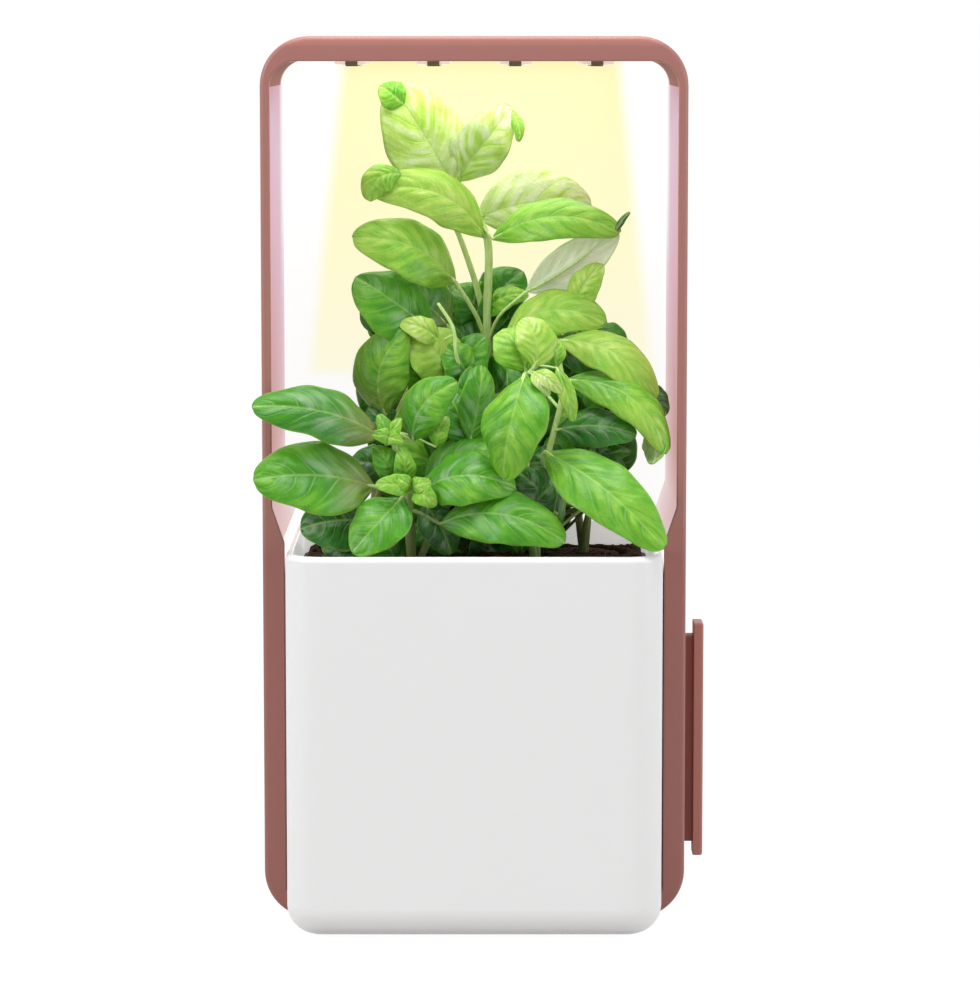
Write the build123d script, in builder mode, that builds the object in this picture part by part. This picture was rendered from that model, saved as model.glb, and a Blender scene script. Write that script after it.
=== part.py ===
from build123d import *

import os

# Countertop hydroponic garden: a lamp hoop, and a planted water tub that slides out of its foot.
# Millimetres. X is the width, -Y the front, +Z up. The origin is the middle of the underside of the
# base pad, on the hoop's two centre planes.

os.makedirs("parts", exist_ok=True)


def store(builder, name):
    """Labels a finished piece and writes it as its own node."""
    builder.part.label = name
    export_step(builder.part, f"parts/{name}.step")


# ================================================================ driving dimensions
# hoop: an open-sided channel bent into a rounded rectangle
hoop_width = 200.0
hoop_height = 418.5
hoop_depth = 120.0
hoop_corner = 23.0
skin = 2.2  # outer web of the channel
lip = 2.4  # front and rear lips of the channel, along Y
bar_thickness = 11.6  # top bar, which holds the lamp
post_thickness = 4.6  # side posts beside the plants
cheek_thickness = 10.4  # side posts beside the tub
base_thickness = 12.0
shoulder_top = 199.0  # where a post begins to widen into its cheek
shoulder_foot = 182.0
shoulder_round = 8.0
opening_corner = 12.0
foot_corner = 3.0
hoop_edge = 2.0
opening_edge = 0.7
liner_thickness = 1.6  # covers that close the channel from inside
light_wall_foot = 184.0
panel_thickness = 2.2
panel_gap = 0.2
pad_thickness = 1.5
pad_size = (140.0, 96.0)
pad_corner = 8.0

# screws and the bosses that take them
screw_radius = 1.25
screw_head_radius = 2.6
screw_head_height = 1.1
screw_length = 5.0
boss_radius = 3.4
base_boss_x = 62.0
boss_y = 42.0
cheek_boss_heights = (32.0, 160.0)

# lamp
lens_columns = 4
lens_rows = 3
lens_pitch_x = 38.6
lens_pitch_y = 32.0
lens_radius = 8.3
lens_gap = 0.15
lens_flange = 1.2
lens_flange_width = 1.6
lens_drop = 1.9  # how far a lens stands below the tray
lens_round = 1.3
lens_pocket_radius = 4.4
lens_pocket_depth = 1.7
glare_cap_radius = 3.0
glare_cap_thickness = 0.6
emitter_side = 5.0
emitter_height = 1.2
led_board_size = (156.0, 96.0)
board_thickness = 1.6
spreader_size = (150.0, 96.0)
spreader_thickness = 3.0
lamp_screw_x = 68.0
lamp_screw_y = 43.0

# leads and sockets in the channel
flex_thickness = 0.4
flex_width = 10.0
flex_y = 20.0
flex_gap = 0.2  # between a lead and the skin it follows
plug_length = 6.0
plug_notch_gap = 1.0
lamp_plug_x = -72.0
left_plug_x = -50.0
right_plug_x = -9.0
inlet_x = -40.0
inlet_nose_radius = 3.75
inlet_bore_radius = 2.8
inlet_bore_depth = 11.0
inlet_pin_radius = 1.0
inlet_pin_length = 8.5
inlet_body = (9.0, 12.0, 6.4)

# control board under the base cover
control_board_size = (50.0, 56.0)
control_board_place = (-29.0, 14.5)
control_board_drop = 2.4  # below the base cover
board_post_radius = 2.0
board_post_inset = 4.0
chip_size = (9.0, 9.0, 1.4)
capacitor_radius = 2.6
capacitor_height = 3.2

# rocker on the right cheek
rocker_height = 78.0  # its middle
rocker_length = 115.4
rocker_width = 14.0
rocker_thickness = 4.8
rocker_stand = 6.8  # bar's underside above the hoop's side
rocker_round = 1.2
neck_length = 102.4
neck_width = 9.0
neck_gap = 0.6  # round the neck in its slot
neck_foot = 3.6  # neck's foot below the hoop's side
pivot_depth = 4.6  # pivot below the hoop's side
pivot_radius = 1.25
running_clearance = 0.05
lobe_length = 10.0
lobe_depth = 6.6
ear_gap = 2.1
ear_thickness = 1.4
ear_length = 8.0
cradle_thickness = 1.2
cradle_gap = 0.2
cradle_size = (18.0, 92.0)
spring_radius = 2.2
spring_side_gap = 0.2
magnet_radius = 2.0
magnet_thickness = 1.5
magnet_offset = 40.0
sensor_side = 3.0
sensor_height = 1.0
rocker_board_thickness = 1.0

# tub
tub_depth = 139.0
tub_top = 181.0
tub_overhang = 42.0  # how far the tub's front stands before the hoop
tub_side_gap = 1.7
tub_round = 17.0
tub_foot_round = 14.0
tub_floor_round = 3.0
tub_wall = 3.4
rim_round = 2.8
rim_inner_round = 0.5
glide_thickness = 1.0
glide_size = (12.0, 20.0)
glide_x = 50.0
tub_floor_gap = 0.3  # tub floor over the base cover
apron_gap = 1.0  # between the apron's back and the hoop's front
bumper_size = (14.0, 9.0, 10.0)
bumper_x = 60.0
bumper_gap = 0.3

# planting deck
deck_drop = 22.0  # deck's underside below the rim
deck_thickness = 2.5
deck_gap = 0.4
deck_lip = 2.0
deck_lip_height = 7.0
ledge_width = 3.2
ledge_height = 3.0
bed_drop = 11.5  # top of the coco bed below the rim
bed_gap = 0.4
pot_places = [(-52.0, 5.0), (0.0, 5.0), (52.0, 5.0), (-28.0, -52.0), (28.0, -52.0)]
pot_top_radius = 20.0
pot_foot_radius = 15.0
pot_depth = 52.0
pot_wall = 1.6
pot_flange_radius = 23.0
pot_flange = 1.8
pot_slots = 8
pot_slot_width = 4.0
pot_slot_length = 26.0
pot_slot_foot = 8.0
plug_gap = 0.3
plug_stand = 5.5  # plug's top above the pot's flange

# plants: each pot's crown radius, and its foot and top above the plug under a lamp at crown_room
stem_radius = 3.0
crown_room = 237.7
crowns = [
    (24.0, 26.2, 131.2),
    (26.0, 31.2, 225.2),
    (24.0, 26.2, 127.2),
    (26.0, 19.2, 93.2),
    (26.0, 19.2, 93.2),
]

# pump on the tub's floor, turned through the floor by the coil under it
pump_place = (26.0, 5.0)
pump_radius = 17.0
pump_height = 18.0
pump_wall = 1.8
pump_base_thickness = 2.0
intake_slots = 10
intake_width = 3.0
intake_height = 5.0
impeller_radius = 11.5
impeller_gap = 0.8
impeller_disc = 3.0
blade_count = 6
blade_height = 5.0
blade_thickness = 1.4
impeller_hub_radius = 3.4
pump_shaft_radius = 1.0
pump_shaft_length = 11.5
spigot_radius = 2.6
spigot_bore = 1.5
spigot_height = 8.0
tube_radius = 4.0
tube_top_gap = 6.0  # tube's end below the deck
coil_radius = 14.0
coil_bore = 4.0
coil_height = 6.4

# float, in the front right corner of the deck
float_place = (68.0, -82.0)
guide_radius = 10.0
guide_wall = 1.2
guide_length = 66.0
guide_flange_radius = 12.0
guide_flange = 1.2
guide_windows = 3
guide_window = (4.0, 40.0)
guide_cap_thickness = 1.8
float_radius = 7.6
float_length = 22.0
float_rest_gap = 0.3
float_stem_radius = 2.0
float_stem_gap = 0.35
float_knob_radius = 3.6
float_knob_height = 2.4
float_knob_gap = 0.5
float_bore_depth = 8.0

# filling port, in the front left corner of the deck
port_place = (-65.5, -81.5)
port_size = (21.0, 17.0)
port_wall = 1.6
port_flange = 1.2
port_flange_width = 1.6
port_stand = 3.0  # rim above the deck
port_chute = 30.0
flap_thickness = 1.8
flap_gap = 0.3
hinge_radius = 1.7
hinge_pin_radius = 0.8
knuckle_length = 4.0
knuckle_gap = 0.35
port_clearance = 4.0  # bed kept away from the port

# ================================================================ places that follow from them
hoop_foot = pad_thickness
hoop_mid = hoop_foot + hoop_height / 2
hoop_top = hoop_foot + hoop_height
side_x = hoop_width / 2
hoop_front = -hoop_depth / 2
opening_top = hoop_top - bar_thickness
opening_floor = hoop_foot + base_thickness
post_inner = side_x - post_thickness
cheek_inner = side_x - cheek_thickness
skin_inner = side_x - skin
channel_front = hoop_front + lip
channel_rear = -channel_front
panel_front = channel_rear - panel_thickness
cover_foot = opening_floor - liner_thickness
channel_floor = hoop_foot + skin
lamp_ceiling = hoop_top - skin
tray_top = opening_top + liner_thickness
led_board_foot = tray_top + lens_flange
spreader_foot = led_board_foot + board_thickness
spreader_top = spreader_foot + spreader_thickness

tub_half = cheek_inner - tub_side_gap
tub_front = hoop_front - tub_overhang
tub_rear = tub_front + tub_depth
tub_mid = (tub_front + tub_rear) / 2
tub_foot = glide_thickness
tub_floor_foot = opening_floor + tub_floor_gap
tub_floor = tub_floor_foot + tub_wall
apron_rear = hoop_front - apron_gap
deck_foot = tub_top - deck_drop
deck_top = deck_foot + deck_thickness
bed_top = tub_top - bed_drop
pot_top = deck_top + pot_flange
pot_foot = pot_top - pot_depth
plug_top = pot_top + plug_stand
crown_scale = (opening_top - lens_drop - plug_top) / crown_room

# ================================================================ hoop
# shared outlines, drawn in the hoop's front view
with BuildSketch() as opening:
    with BuildLine():
        Polyline(
            (-cheek_inner, opening_floor),
            (cheek_inner, opening_floor),
            (cheek_inner, shoulder_foot),
            (post_inner, shoulder_top),
            (post_inner, opening_top),
            (-post_inner, opening_top),
            (-post_inner, shoulder_top),
            (-cheek_inner, shoulder_foot),
            close=True,
        )
    make_face()
    corners_by_height = opening.vertices().group_by(Axis.Y)
    fillet(corners_by_height[1] + corners_by_height[2], radius=shoulder_round)
    fillet(opening.vertices().group_by(Axis.Y)[0], radius=foot_corner)
    fillet(opening.vertices().group_by(Axis.Y)[-1], radius=opening_corner)

with BuildSketch() as lined_opening:
    add(opening.sketch)
    offset(amount=liner_thickness, kind=Kind.ARC)

with BuildSketch() as liner_ring:
    add(lined_opening.sketch)
    add(opening.sketch, mode=Mode.SUBTRACT)


def hoop_band(inset):
    """Draws the hoop's outer outline, moved inwards by inset, in the current sketch."""
    with Locations((0, hoop_mid)):
        RectangleRounded(hoop_width - 2 * inset, hoop_height - 2 * inset, hoop_corner - inset)


def cheek_screw_planes(side):
    """Planes on a cheek cover's inner face, one at each screw, facing the tub."""
    return [
        Plane(origin=(side * cheek_inner, y, z), z_dir=(-side, 0, 0))
        for y in (-boss_y, boss_y)
        for z in cheek_boss_heights
    ]


base_screw_places = [(x, y) for x in (-base_boss_x, base_boss_x) for y in (-boss_y, boss_y)]
inlet_height = hoop_foot + base_thickness / 2
slot_size = (neck_width + 2 * neck_gap, neck_length + 2 * neck_gap)

with BuildPart() as hoop_shell:
    with BuildSketch(Plane.XZ):
        hoop_band(0)
        add(opening.sketch, mode=Mode.SUBTRACT)
    extrude(amount=hoop_depth / 2, both=True)
    front_face, rear_face = hoop_shell.faces().sort_by(Axis.Y)[0], hoop_shell.faces().sort_by(Axis.Y)[-1]
    outline_edges = front_face.outer_wire().edges() + rear_face.outer_wire().edges()
    opening_edges = front_face.inner_wires()[0].edges() + rear_face.inner_wires()[0].edges()
    fillet(outline_edges, radius=hoop_edge)
    fillet(opening_edges, radius=opening_edge)
    with BuildSketch(Plane.XZ):
        hoop_band(skin)
    extrude(amount=hoop_depth / 2 - lip, both=True, mode=Mode.SUBTRACT)
    # bosses for the base cover's and the cheek covers' screws
    with BuildSketch(Plane.XY.offset(channel_floor)):
        with Locations(*base_screw_places):
            Circle(boss_radius)
            Circle(screw_radius, mode=Mode.SUBTRACT)
    extrude(amount=cover_foot - channel_floor)
    for side in (-1, 1):
        with BuildSketch(Plane.YZ.offset(side * skin_inner)):
            with Locations(*[(y, z) for y in (-boss_y, boss_y) for z in cheek_boss_heights]):
                Circle(boss_radius)
                Circle(screw_radius, mode=Mode.SUBTRACT)
        extrude(amount=-side * (skin_inner - cheek_inner - liner_thickness))
    # slot for the rocker's neck, and hole for the power inlet's nose
    with BuildSketch(Plane.YZ.offset(skin_inner)):
        with Locations((0, rocker_height)):
            RectangleRounded(*slot_size, radius=rocker_round)
    extrude(amount=skin, mode=Mode.SUBTRACT)
    with BuildSketch(Plane.XZ.offset(-channel_rear)):
        with Locations((inlet_x, inlet_height)):
            Circle(inlet_nose_radius + running_clearance)
    extrude(amount=-lip, mode=Mode.SUBTRACT)
store(hoop_shell, "hoop_shell")


def liner(low, high, side=0):
    """A cover closing the channel from one height to another, on both sides or one of them."""
    with BuildPart() as piece:
        with BuildSketch(Plane.XZ.offset(-channel_front)):
            add(liner_ring.sketch)
            with Locations((side * side_x, (low + high) / 2)):
                Rectangle(hoop_width if side else 2 * hoop_width, high - low, mode=Mode.INTERSECT)
        extrude(amount=channel_front - panel_front)
    return piece


cheek_cover_foot = opening_floor + foot_corner
tray_foot = opening_top - opening_corner
board_x, board_y = control_board_place
board_post_places = [
    (board_x + sx * (control_board_size[0] / 2 - board_post_inset),
     board_y + sy * (control_board_size[1] / 2 - board_post_inset))
    for sx in (-1, 1)
    for sy in (-1, 1)
]

plain_base_cover = liner(hoop_foot, cheek_cover_foot)
with BuildPart() as base_cover:
    add(plain_base_cover.part)
    with Locations(*[(x, y, opening_floor) for x, y in base_screw_places]):
        CounterBoreHole(screw_radius, screw_head_radius, screw_head_height)
    with BuildSketch(Plane.XY.offset(cover_foot)):
        with Locations(*board_post_places):
            Circle(board_post_radius)
    extrude(amount=-control_board_drop)
store(base_cover, "base_cover")

for side, word in ((-1, "left"), (1, "right")):
    plain_cheek_cover = liner(cheek_cover_foot, light_wall_foot, side)
    with BuildPart() as cheek_cover:
        add(plain_cheek_cover.part)
        with Locations(*cheek_screw_planes(side)):
            CounterBoreHole(screw_radius, screw_head_radius, screw_head_height)
    store(cheek_cover, f"cheek_cover_{word}")
    light_wall = liner(light_wall_foot, tray_foot, side)
    store(light_wall, f"light_wall_{word}")

with BuildPart() as back_panel:
    with BuildSketch(Plane.XZ.offset(-panel_front)):
        hoop_band(skin + panel_gap)
        with Locations((inlet_x, inlet_height)):
            Circle(inlet_nose_radius + running_clearance, mode=Mode.SUBTRACT)
    extrude(amount=-panel_thickness)
store(back_panel, "back_panel")

with BuildPart() as base_pad:
    with BuildSketch():
        RectangleRounded(*pad_size, radius=pad_corner)
    extrude(amount=pad_thickness)
store(base_pad, "base_pad")

with BuildPart() as screw:
    Cylinder(screw_head_radius, screw_head_height, align=(Align.CENTER, Align.CENTER, Align.MAX))
    Cylinder(screw_radius, screw_length, align=(Align.CENTER, Align.CENTER, Align.MAX))
    head_rim = screw.edges().filter_by(GeomType.CIRCLE).sort_by(Axis.Z)[-1]
    fillet(head_rim, radius=screw_head_height / 3)

with BuildPart() as cover_screws:
    with Locations(*[(x, y, opening_floor) for x, y in base_screw_places]):
        add(screw.part)
    with Locations(*cheek_screw_planes(-1), *cheek_screw_planes(1)):
        add(screw.part)
store(cover_screws, "cover_screws")

# ================================================================ lamp
plain_tray = liner(tray_foot, tray_top + 1)
lamp_screw_places = [(x, y) for x in (-lamp_screw_x, lamp_screw_x) for y in (-lamp_screw_y, lamp_screw_y)]
with BuildPart() as lamp_tray:
    add(plain_tray.part)
    with BuildSketch(Plane.XY.offset(opening_top)):
        with GridLocations(lens_pitch_x, lens_pitch_y, lens_columns, lens_rows):
            Circle(lens_radius + lens_gap)
    extrude(amount=liner_thickness, mode=Mode.SUBTRACT)
    with BuildSketch(Plane.XY.offset(tray_top)):
        with Locations(*lamp_screw_places):
            Circle(boss_radius)
    extrude(amount=lens_flange)
    with Locations(*[(x, y, led_board_foot) for x, y in lamp_screw_places]):
        Hole(screw_radius, depth=lens_flange + liner_thickness / 2)
store(lamp_tray, "lamp_tray")

with BuildPart() as lens:
    with BuildSketch(Plane.XY.offset(tray_top)):
        Circle(lens_radius + lens_flange_width)
    extrude(amount=lens_flange)
    with BuildSketch(Plane.XY.offset(opening_top - lens_drop)):
        Circle(lens_radius)
    extrude(amount=liner_thickness + lens_drop)
    fillet(lens.edges().filter_by(GeomType.CIRCLE).sort_by(Axis.Z)[0], radius=lens_round)
    with BuildSketch(Plane.XY.offset(led_board_foot)):
        Circle(lens_pocket_radius)
    extrude(amount=-lens_pocket_depth, mode=Mode.SUBTRACT)

with BuildPart() as lamp_lenses:
    with GridLocations(lens_pitch_x, lens_pitch_y, lens_columns, lens_rows):
        add(lens.part)
store(lamp_lenses, "lamp_lenses")

with BuildPart() as glare_caps:
    with BuildSketch(Plane.XY.offset(opening_top - lens_drop)):
        with GridLocations(lens_pitch_x, lens_pitch_y, lens_columns, lens_rows):
            Circle(glare_cap_radius)
    extrude(amount=-glare_cap_thickness)
    cap_rims = glare_caps.edges().filter_by(GeomType.CIRCLE).group_by(Axis.Z)[0]
    fillet(cap_rims, radius=glare_cap_thickness / 2)
store(glare_caps, "glare_caps")

with BuildPart() as led_emitters:
    with BuildSketch(Plane.XY.offset(led_board_foot)):
        with GridLocations(lens_pitch_x, lens_pitch_y, lens_columns, lens_rows):
            Rectangle(emitter_side, emitter_side)
    extrude(amount=-emitter_height)
store(led_emitters, "led_emitters")

with BuildPart() as led_board:
    with BuildSketch(Plane.XY.offset(led_board_foot)):
        Rectangle(*led_board_size)
        with Locations(*lamp_screw_places):
            Circle(screw_radius + running_clearance, mode=Mode.SUBTRACT)
    extrude(amount=board_thickness)
store(led_board, "led_board")

with BuildPart() as heat_spreader:
    with BuildSketch(Plane.XY.offset(spreader_foot)):
        Rectangle(*spreader_size)
        with Locations(*lamp_screw_places):
            Circle(screw_radius + running_clearance, mode=Mode.SUBTRACT)
        with Locations((lamp_plug_x, flex_y)):
            Rectangle(plug_length + 2 * plug_notch_gap, flex_width + 2 * plug_notch_gap, mode=Mode.SUBTRACT)
    extrude(amount=spreader_thickness)
store(heat_spreader, "heat_spreader")

with BuildPart() as lamp_screws:
    with BuildSketch(Plane.XY.offset(spreader_top)):
        with Locations(*lamp_screw_places):
            Circle(screw_head_radius)
    extrude(amount=screw_head_height)
    with BuildSketch(Plane.XY.offset(spreader_top)):
        with Locations(*lamp_screw_places):
            Circle(screw_radius)
    extrude(amount=-(spreader_top - led_board_foot + lens_flange))
store(lamp_screws, "lamp_screws")

# ================================================================ electronics in the channel
control_board_top = cover_foot - control_board_drop
control_board_foot = control_board_top - board_thickness
with BuildPart() as control_board:
    with BuildSketch(Plane.XY.offset(control_board_foot)):
        with Locations(control_board_place):
            Rectangle(*control_board_size)
    extrude(amount=board_thickness)
store(control_board, "control_board")

with BuildPart() as board_parts:
    with BuildSketch(Plane.XY.offset(control_board_foot)):
        with Locations((board_x, board_y - chip_size[1]), (board_x, board_y + chip_size[1])):
            Rectangle(chip_size[0], chip_size[1])
    extrude(amount=-chip_size[2])
    with BuildSketch(Plane.XY.offset(control_board_foot)):
        with Locations((board_x, board_y - 0.3 * control_board_size[1])):
            with GridLocations(3 * capacitor_radius, 1, 4, 1):
                Circle(capacitor_radius)
    extrude(amount=-capacitor_height)
store(board_parts, "board_parts")

with BuildPart() as drive_coil:
    with BuildSketch(Plane.XY.offset(cover_foot)):
        with Locations(pump_place):
            Circle(coil_radius)
            Circle(coil_bore, mode=Mode.SUBTRACT)
    extrude(amount=-coil_height)
store(drive_coil, "drive_coil")

with BuildPart() as power_inlet:
    with BuildSketch(Plane.XZ.offset(-panel_front)):
        with Locations((inlet_x, inlet_height)):
            Rectangle(inlet_body[0], inlet_body[2])
    extrude(amount=inlet_body[1])
    with BuildSketch(Plane.XZ.offset(-panel_front)):
        with Locations((inlet_x, inlet_height)):
            Circle(inlet_nose_radius)
    extrude(amount=panel_front - hoop_depth / 2)
    with BuildSketch(Plane.XZ.offset(-hoop_depth / 2)):
        with Locations((inlet_x, inlet_height)):
            Circle(inlet_bore_radius)
    extrude(amount=inlet_bore_depth, mode=Mode.SUBTRACT)
    with BuildSketch(Plane.XZ.offset(inlet_bore_depth - hoop_depth / 2)):
        with Locations((inlet_x, inlet_height)):
            Circle(inlet_pin_radius)
    extrude(amount=-inlet_pin_length)
store(power_inlet, "power_inlet")


def flex_lead(box_x, box_z):
    """A flat lead along the inside of the skin, where the skin crosses a box of the front view."""
    with BuildPart() as lead:
        with BuildSketch(Plane.XZ.offset(-(flex_y - flex_width / 2))):
            hoop_band(skin + flex_gap)
            with Locations((0, hoop_mid)):
                inner = skin + flex_gap + flex_thickness
                RectangleRounded(
                    hoop_width - 2 * inner,
                    hoop_height - 2 * inner,
                    hoop_corner - inner,
                    mode=Mode.SUBTRACT,
                )
            with Locations((sum(box_x) / 2, sum(box_z) / 2)):
                Rectangle(box_x[1] - box_x[0], box_z[1] - box_z[0], mode=Mode.INTERSECT)
        extrude(amount=-flex_width)
    return lead


cradle_x = cheek_inner + liner_thickness + cradle_gap
rocker_board_x = cradle_x + cradle_thickness
rocker_board_face = rocker_board_x + rocker_board_thickness
rocker_plug_z = rocker_height - 0.4 * neck_length
lead_left = flex_lead((-side_x, left_plug_x + plug_length / 2), (0, hoop_mid))
lead_lamp = flex_lead((-side_x, lamp_plug_x + plug_length / 2), (hoop_mid, hoop_top))
lead_right = flex_lead(
    (right_plug_x - plug_length / 2, side_x), (0, rocker_plug_z + plug_length / 2)
)
with BuildPart() as flex_leads:
    add(lead_left.part)
    add(lead_lamp.part)
    add(lead_right.part)
store(flex_leads, "flex_leads")

flex_rise = flex_gap + flex_thickness
with BuildPart() as flex_plugs:
    # two under the control board, one on the lamp's board and one on the rocker's
    with BuildSketch(Plane.XY.offset(channel_floor + flex_rise)):
        with Locations((left_plug_x, flex_y), (right_plug_x, flex_y)):
            Rectangle(plug_length, flex_width)
    extrude(amount=control_board_foot - channel_floor - flex_rise)
    with BuildSketch(Plane.XY.offset(spreader_foot)):
        with Locations((lamp_plug_x, flex_y)):
            Rectangle(plug_length, flex_width)
    extrude(amount=lamp_ceiling - flex_rise - spreader_foot)
    with BuildSketch(Plane.YZ.offset(rocker_board_face)):
        with Locations((flex_y, rocker_plug_z)):
            Rectangle(flex_width, plug_length)
    extrude(amount=skin_inner - flex_rise - rocker_board_face)
store(flex_plugs, "flex_plugs")

# ================================================================ rocker
pivot_x = side_x - pivot_depth
bar_foot = side_x + rocker_stand
neck_foot_x = side_x - neck_foot
ear_inner = neck_width / 2 + ear_gap
ear_outer = ear_inner + ear_thickness
pivot_plane = Plane.XZ.offset(ear_outer)  # the front ear's outer face, looking back along the pin
magnet_heights = (rocker_height - magnet_offset, rocker_height + magnet_offset)

with BuildPart() as rocker_bar:
    with BuildSketch(Plane.YZ.offset(bar_foot)):
        with Locations((0, rocker_height)):
            RectangleRounded(rocker_width, rocker_length, radius=rocker_round)
    extrude(amount=rocker_thickness)
    fillet(rocker_bar.faces().sort_by(Axis.X)[-1].edges(), radius=rocker_round)
    fillet(rocker_bar.faces().sort_by(Axis.X)[0].edges(), radius=rocker_round / 3)
store(rocker_bar, "rocker_bar")

with BuildPart() as rocker_neck:
    with BuildSketch(Plane.YZ.offset(neck_foot_x)):
        with Locations((0, rocker_height)):
            RectangleRounded(neck_width, neck_length, radius=rocker_round)
    extrude(amount=bar_foot - neck_foot_x)
    with BuildSketch(Plane.YZ.offset(neck_foot_x)):
        with Locations((0, rocker_height)):
            Rectangle(neck_width, lobe_length)
    extrude(amount=-(lobe_depth - neck_foot))
    with BuildSketch(pivot_plane):
        with Locations((pivot_x, rocker_height)):
            Circle(pivot_radius + running_clearance)
    extrude(amount=-2 * ear_outer, mode=Mode.SUBTRACT)
    with BuildSketch(Plane.YZ.offset(neck_foot_x)):
        with Locations(*[(0, z) for z in magnet_heights]):
            Circle(magnet_radius)
    extrude(amount=magnet_thickness, mode=Mode.SUBTRACT)
store(rocker_neck, "rocker_neck")

with BuildPart() as rocker_magnets:
    with BuildSketch(Plane.YZ.offset(neck_foot_x)):
        with Locations(*[(0, z) for z in magnet_heights]):
            Circle(magnet_radius)
    extrude(amount=magnet_thickness)
store(rocker_magnets, "rocker_magnets")

with BuildPart() as rocker_cradle:
    with BuildSketch(Plane.YZ.offset(cradle_x)):
        with Locations((0, rocker_height)):
            Rectangle(*cradle_size)
    extrude(amount=cradle_thickness)
    with BuildSketch(Plane.YZ.offset(rocker_board_x)):
        with Locations((0, rocker_height)):
            Rectangle(2 * ear_outer, ear_length)
            Rectangle(2 * ear_inner, ear_length, mode=Mode.SUBTRACT)
    extrude(amount=skin_inner - flex_rise - rocker_board_x)
    with BuildSketch(pivot_plane):
        with Locations((pivot_x, rocker_height)):
            Circle(pivot_radius)
    extrude(amount=-2 * ear_outer, mode=Mode.SUBTRACT)
store(rocker_cradle, "rocker_cradle")

with BuildPart() as rocker_pin:
    with BuildSketch(pivot_plane):
        with Locations((pivot_x, rocker_height)):
            Circle(pivot_radius)
    extrude(amount=-2 * ear_outer)
store(rocker_pin, "rocker_pin")

with BuildPart() as rocker_springs:
    for sign in (-1, 1):
        with BuildSketch(Plane.XZ.offset(sign * (ear_inner - spring_side_gap))):
            with Locations((pivot_x, rocker_height)):
                Circle(spring_radius)
                Circle(pivot_radius + running_clearance, mode=Mode.SUBTRACT)
        extrude(amount=-sign * (ear_gap - 2 * spring_side_gap))
store(rocker_springs, "rocker_springs")

board_low_y = -cradle_size[0] / 2
board_high_y = flex_y + flex_width / 2
with BuildPart() as rocker_board:
    with BuildSketch(Plane.YZ.offset(rocker_board_x)):
        with Locations(((board_low_y + board_high_y) / 2, rocker_height)):
            Rectangle(board_high_y - board_low_y, cradle_size[1])
        with Locations((0, rocker_height)):
            Rectangle(2 * ear_outer + 2 * neck_gap, lobe_length + 4 * neck_gap, mode=Mode.SUBTRACT)
    extrude(amount=rocker_board_thickness)
store(rocker_board, "rocker_board")

with BuildPart() as hall_sensors:
    with BuildSketch(Plane.YZ.offset(rocker_board_face)):
        with Locations(*[(0, z) for z in magnet_heights]):
            Rectangle(sensor_side, sensor_side)
    extrude(amount=sensor_height)
store(hall_sensors, "hall_sensors")

# ================================================================ tub
def tub_outline(inset, mode=Mode.ADD):
    """Draws the tub's outer outline, moved inwards by inset, in the current sketch."""
    with Locations((0, tub_mid)):
        RectangleRounded(
            2 * (tub_half - inset), tub_depth - 2 * inset, tub_round - inset, mode=mode
        )


with BuildPart() as tub_cavity:
    with BuildSketch(Plane.XY.offset(tub_foot + tub_wall)):
        tub_outline(tub_wall)
    extrude(amount=tub_top - tub_foot)
    fillet(tub_cavity.faces().sort_by(Axis.Z)[0].edges(), radius=tub_foot_round - tub_wall)
    # behind the apron the floor is raised, to pass over the hoop's base
    with BuildSketch():
        with Locations((0, apron_rear - tub_wall)):
            Rectangle(2 * hoop_width, hoop_width, align=(Align.CENTER, Align.MIN))
    extrude(amount=tub_floor, mode=Mode.SUBTRACT)

with BuildPart() as deck_ledge:
    with BuildSketch(Plane.XY.offset(deck_foot)):
        tub_outline(tub_wall / 2)
        tub_outline(tub_wall + ledge_width, mode=Mode.SUBTRACT)
    extrude(amount=-ledge_height)

with BuildPart() as tub_rear_block:
    with BuildSketch(Plane.XY.offset(tub_floor_foot)):
        tub_outline(0)
    extrude(amount=tub_top - tub_floor_foot)
    fillet(tub_rear_block.faces().sort_by(Axis.Z)[0].edges(), radius=tub_floor_round)

with BuildPart() as tub_shell:
    with BuildSketch(Plane.XY.offset(tub_foot)):
        tub_outline(0)
    extrude(amount=tub_top - tub_foot)
    fillet(tub_shell.faces().sort_by(Axis.Z)[0].edges(), radius=tub_foot_round)
    with BuildSketch():
        with Locations((0, apron_rear)):
            Rectangle(2 * hoop_width, hoop_width, align=(Align.CENTER, Align.MIN))
    extrude(amount=tub_top, mode=Mode.SUBTRACT)
    add(tub_rear_block.part)
    add(tub_cavity.part, mode=Mode.SUBTRACT)
    fillet(tub_shell.faces().sort_by(Axis.Z)[-1].outer_wire().edges(), radius=rim_round)
    fillet(tub_shell.faces().sort_by(Axis.Z)[-1].inner_wires()[0].edges(), radius=rim_inner_round)
    add(deck_ledge.part)
store(tub_shell, "tub_shell")

with BuildPart() as tub_glides:
    with BuildSketch():
        with Locations((-glide_x, apron_rear - glide_size[1] / 2 - tub_wall),
                       (glide_x, apron_rear - glide_size[1] / 2 - tub_wall)):
            RectangleRounded(*glide_size, radius=glide_size[0] / 4)
    extrude(amount=glide_thickness)
store(tub_glides, "tub_glides")

with BuildPart() as rear_bumpers:
    with BuildSketch(Plane.XY.offset(opening_floor)):
        with Locations((-bumper_x, tub_rear + bumper_gap), (bumper_x, tub_rear + bumper_gap)):
            Rectangle(bumper_size[0], bumper_size[1], align=(Align.CENTER, Align.MIN))
    extrude(amount=bumper_size[2])
    fillet(rear_bumpers.edges().filter_by(Axis.Z), radius=bumper_size[1] / 5)
store(rear_bumpers, "rear_bumpers")

# ================================================================ planting deck
deck_inset = tub_wall + deck_gap


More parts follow.
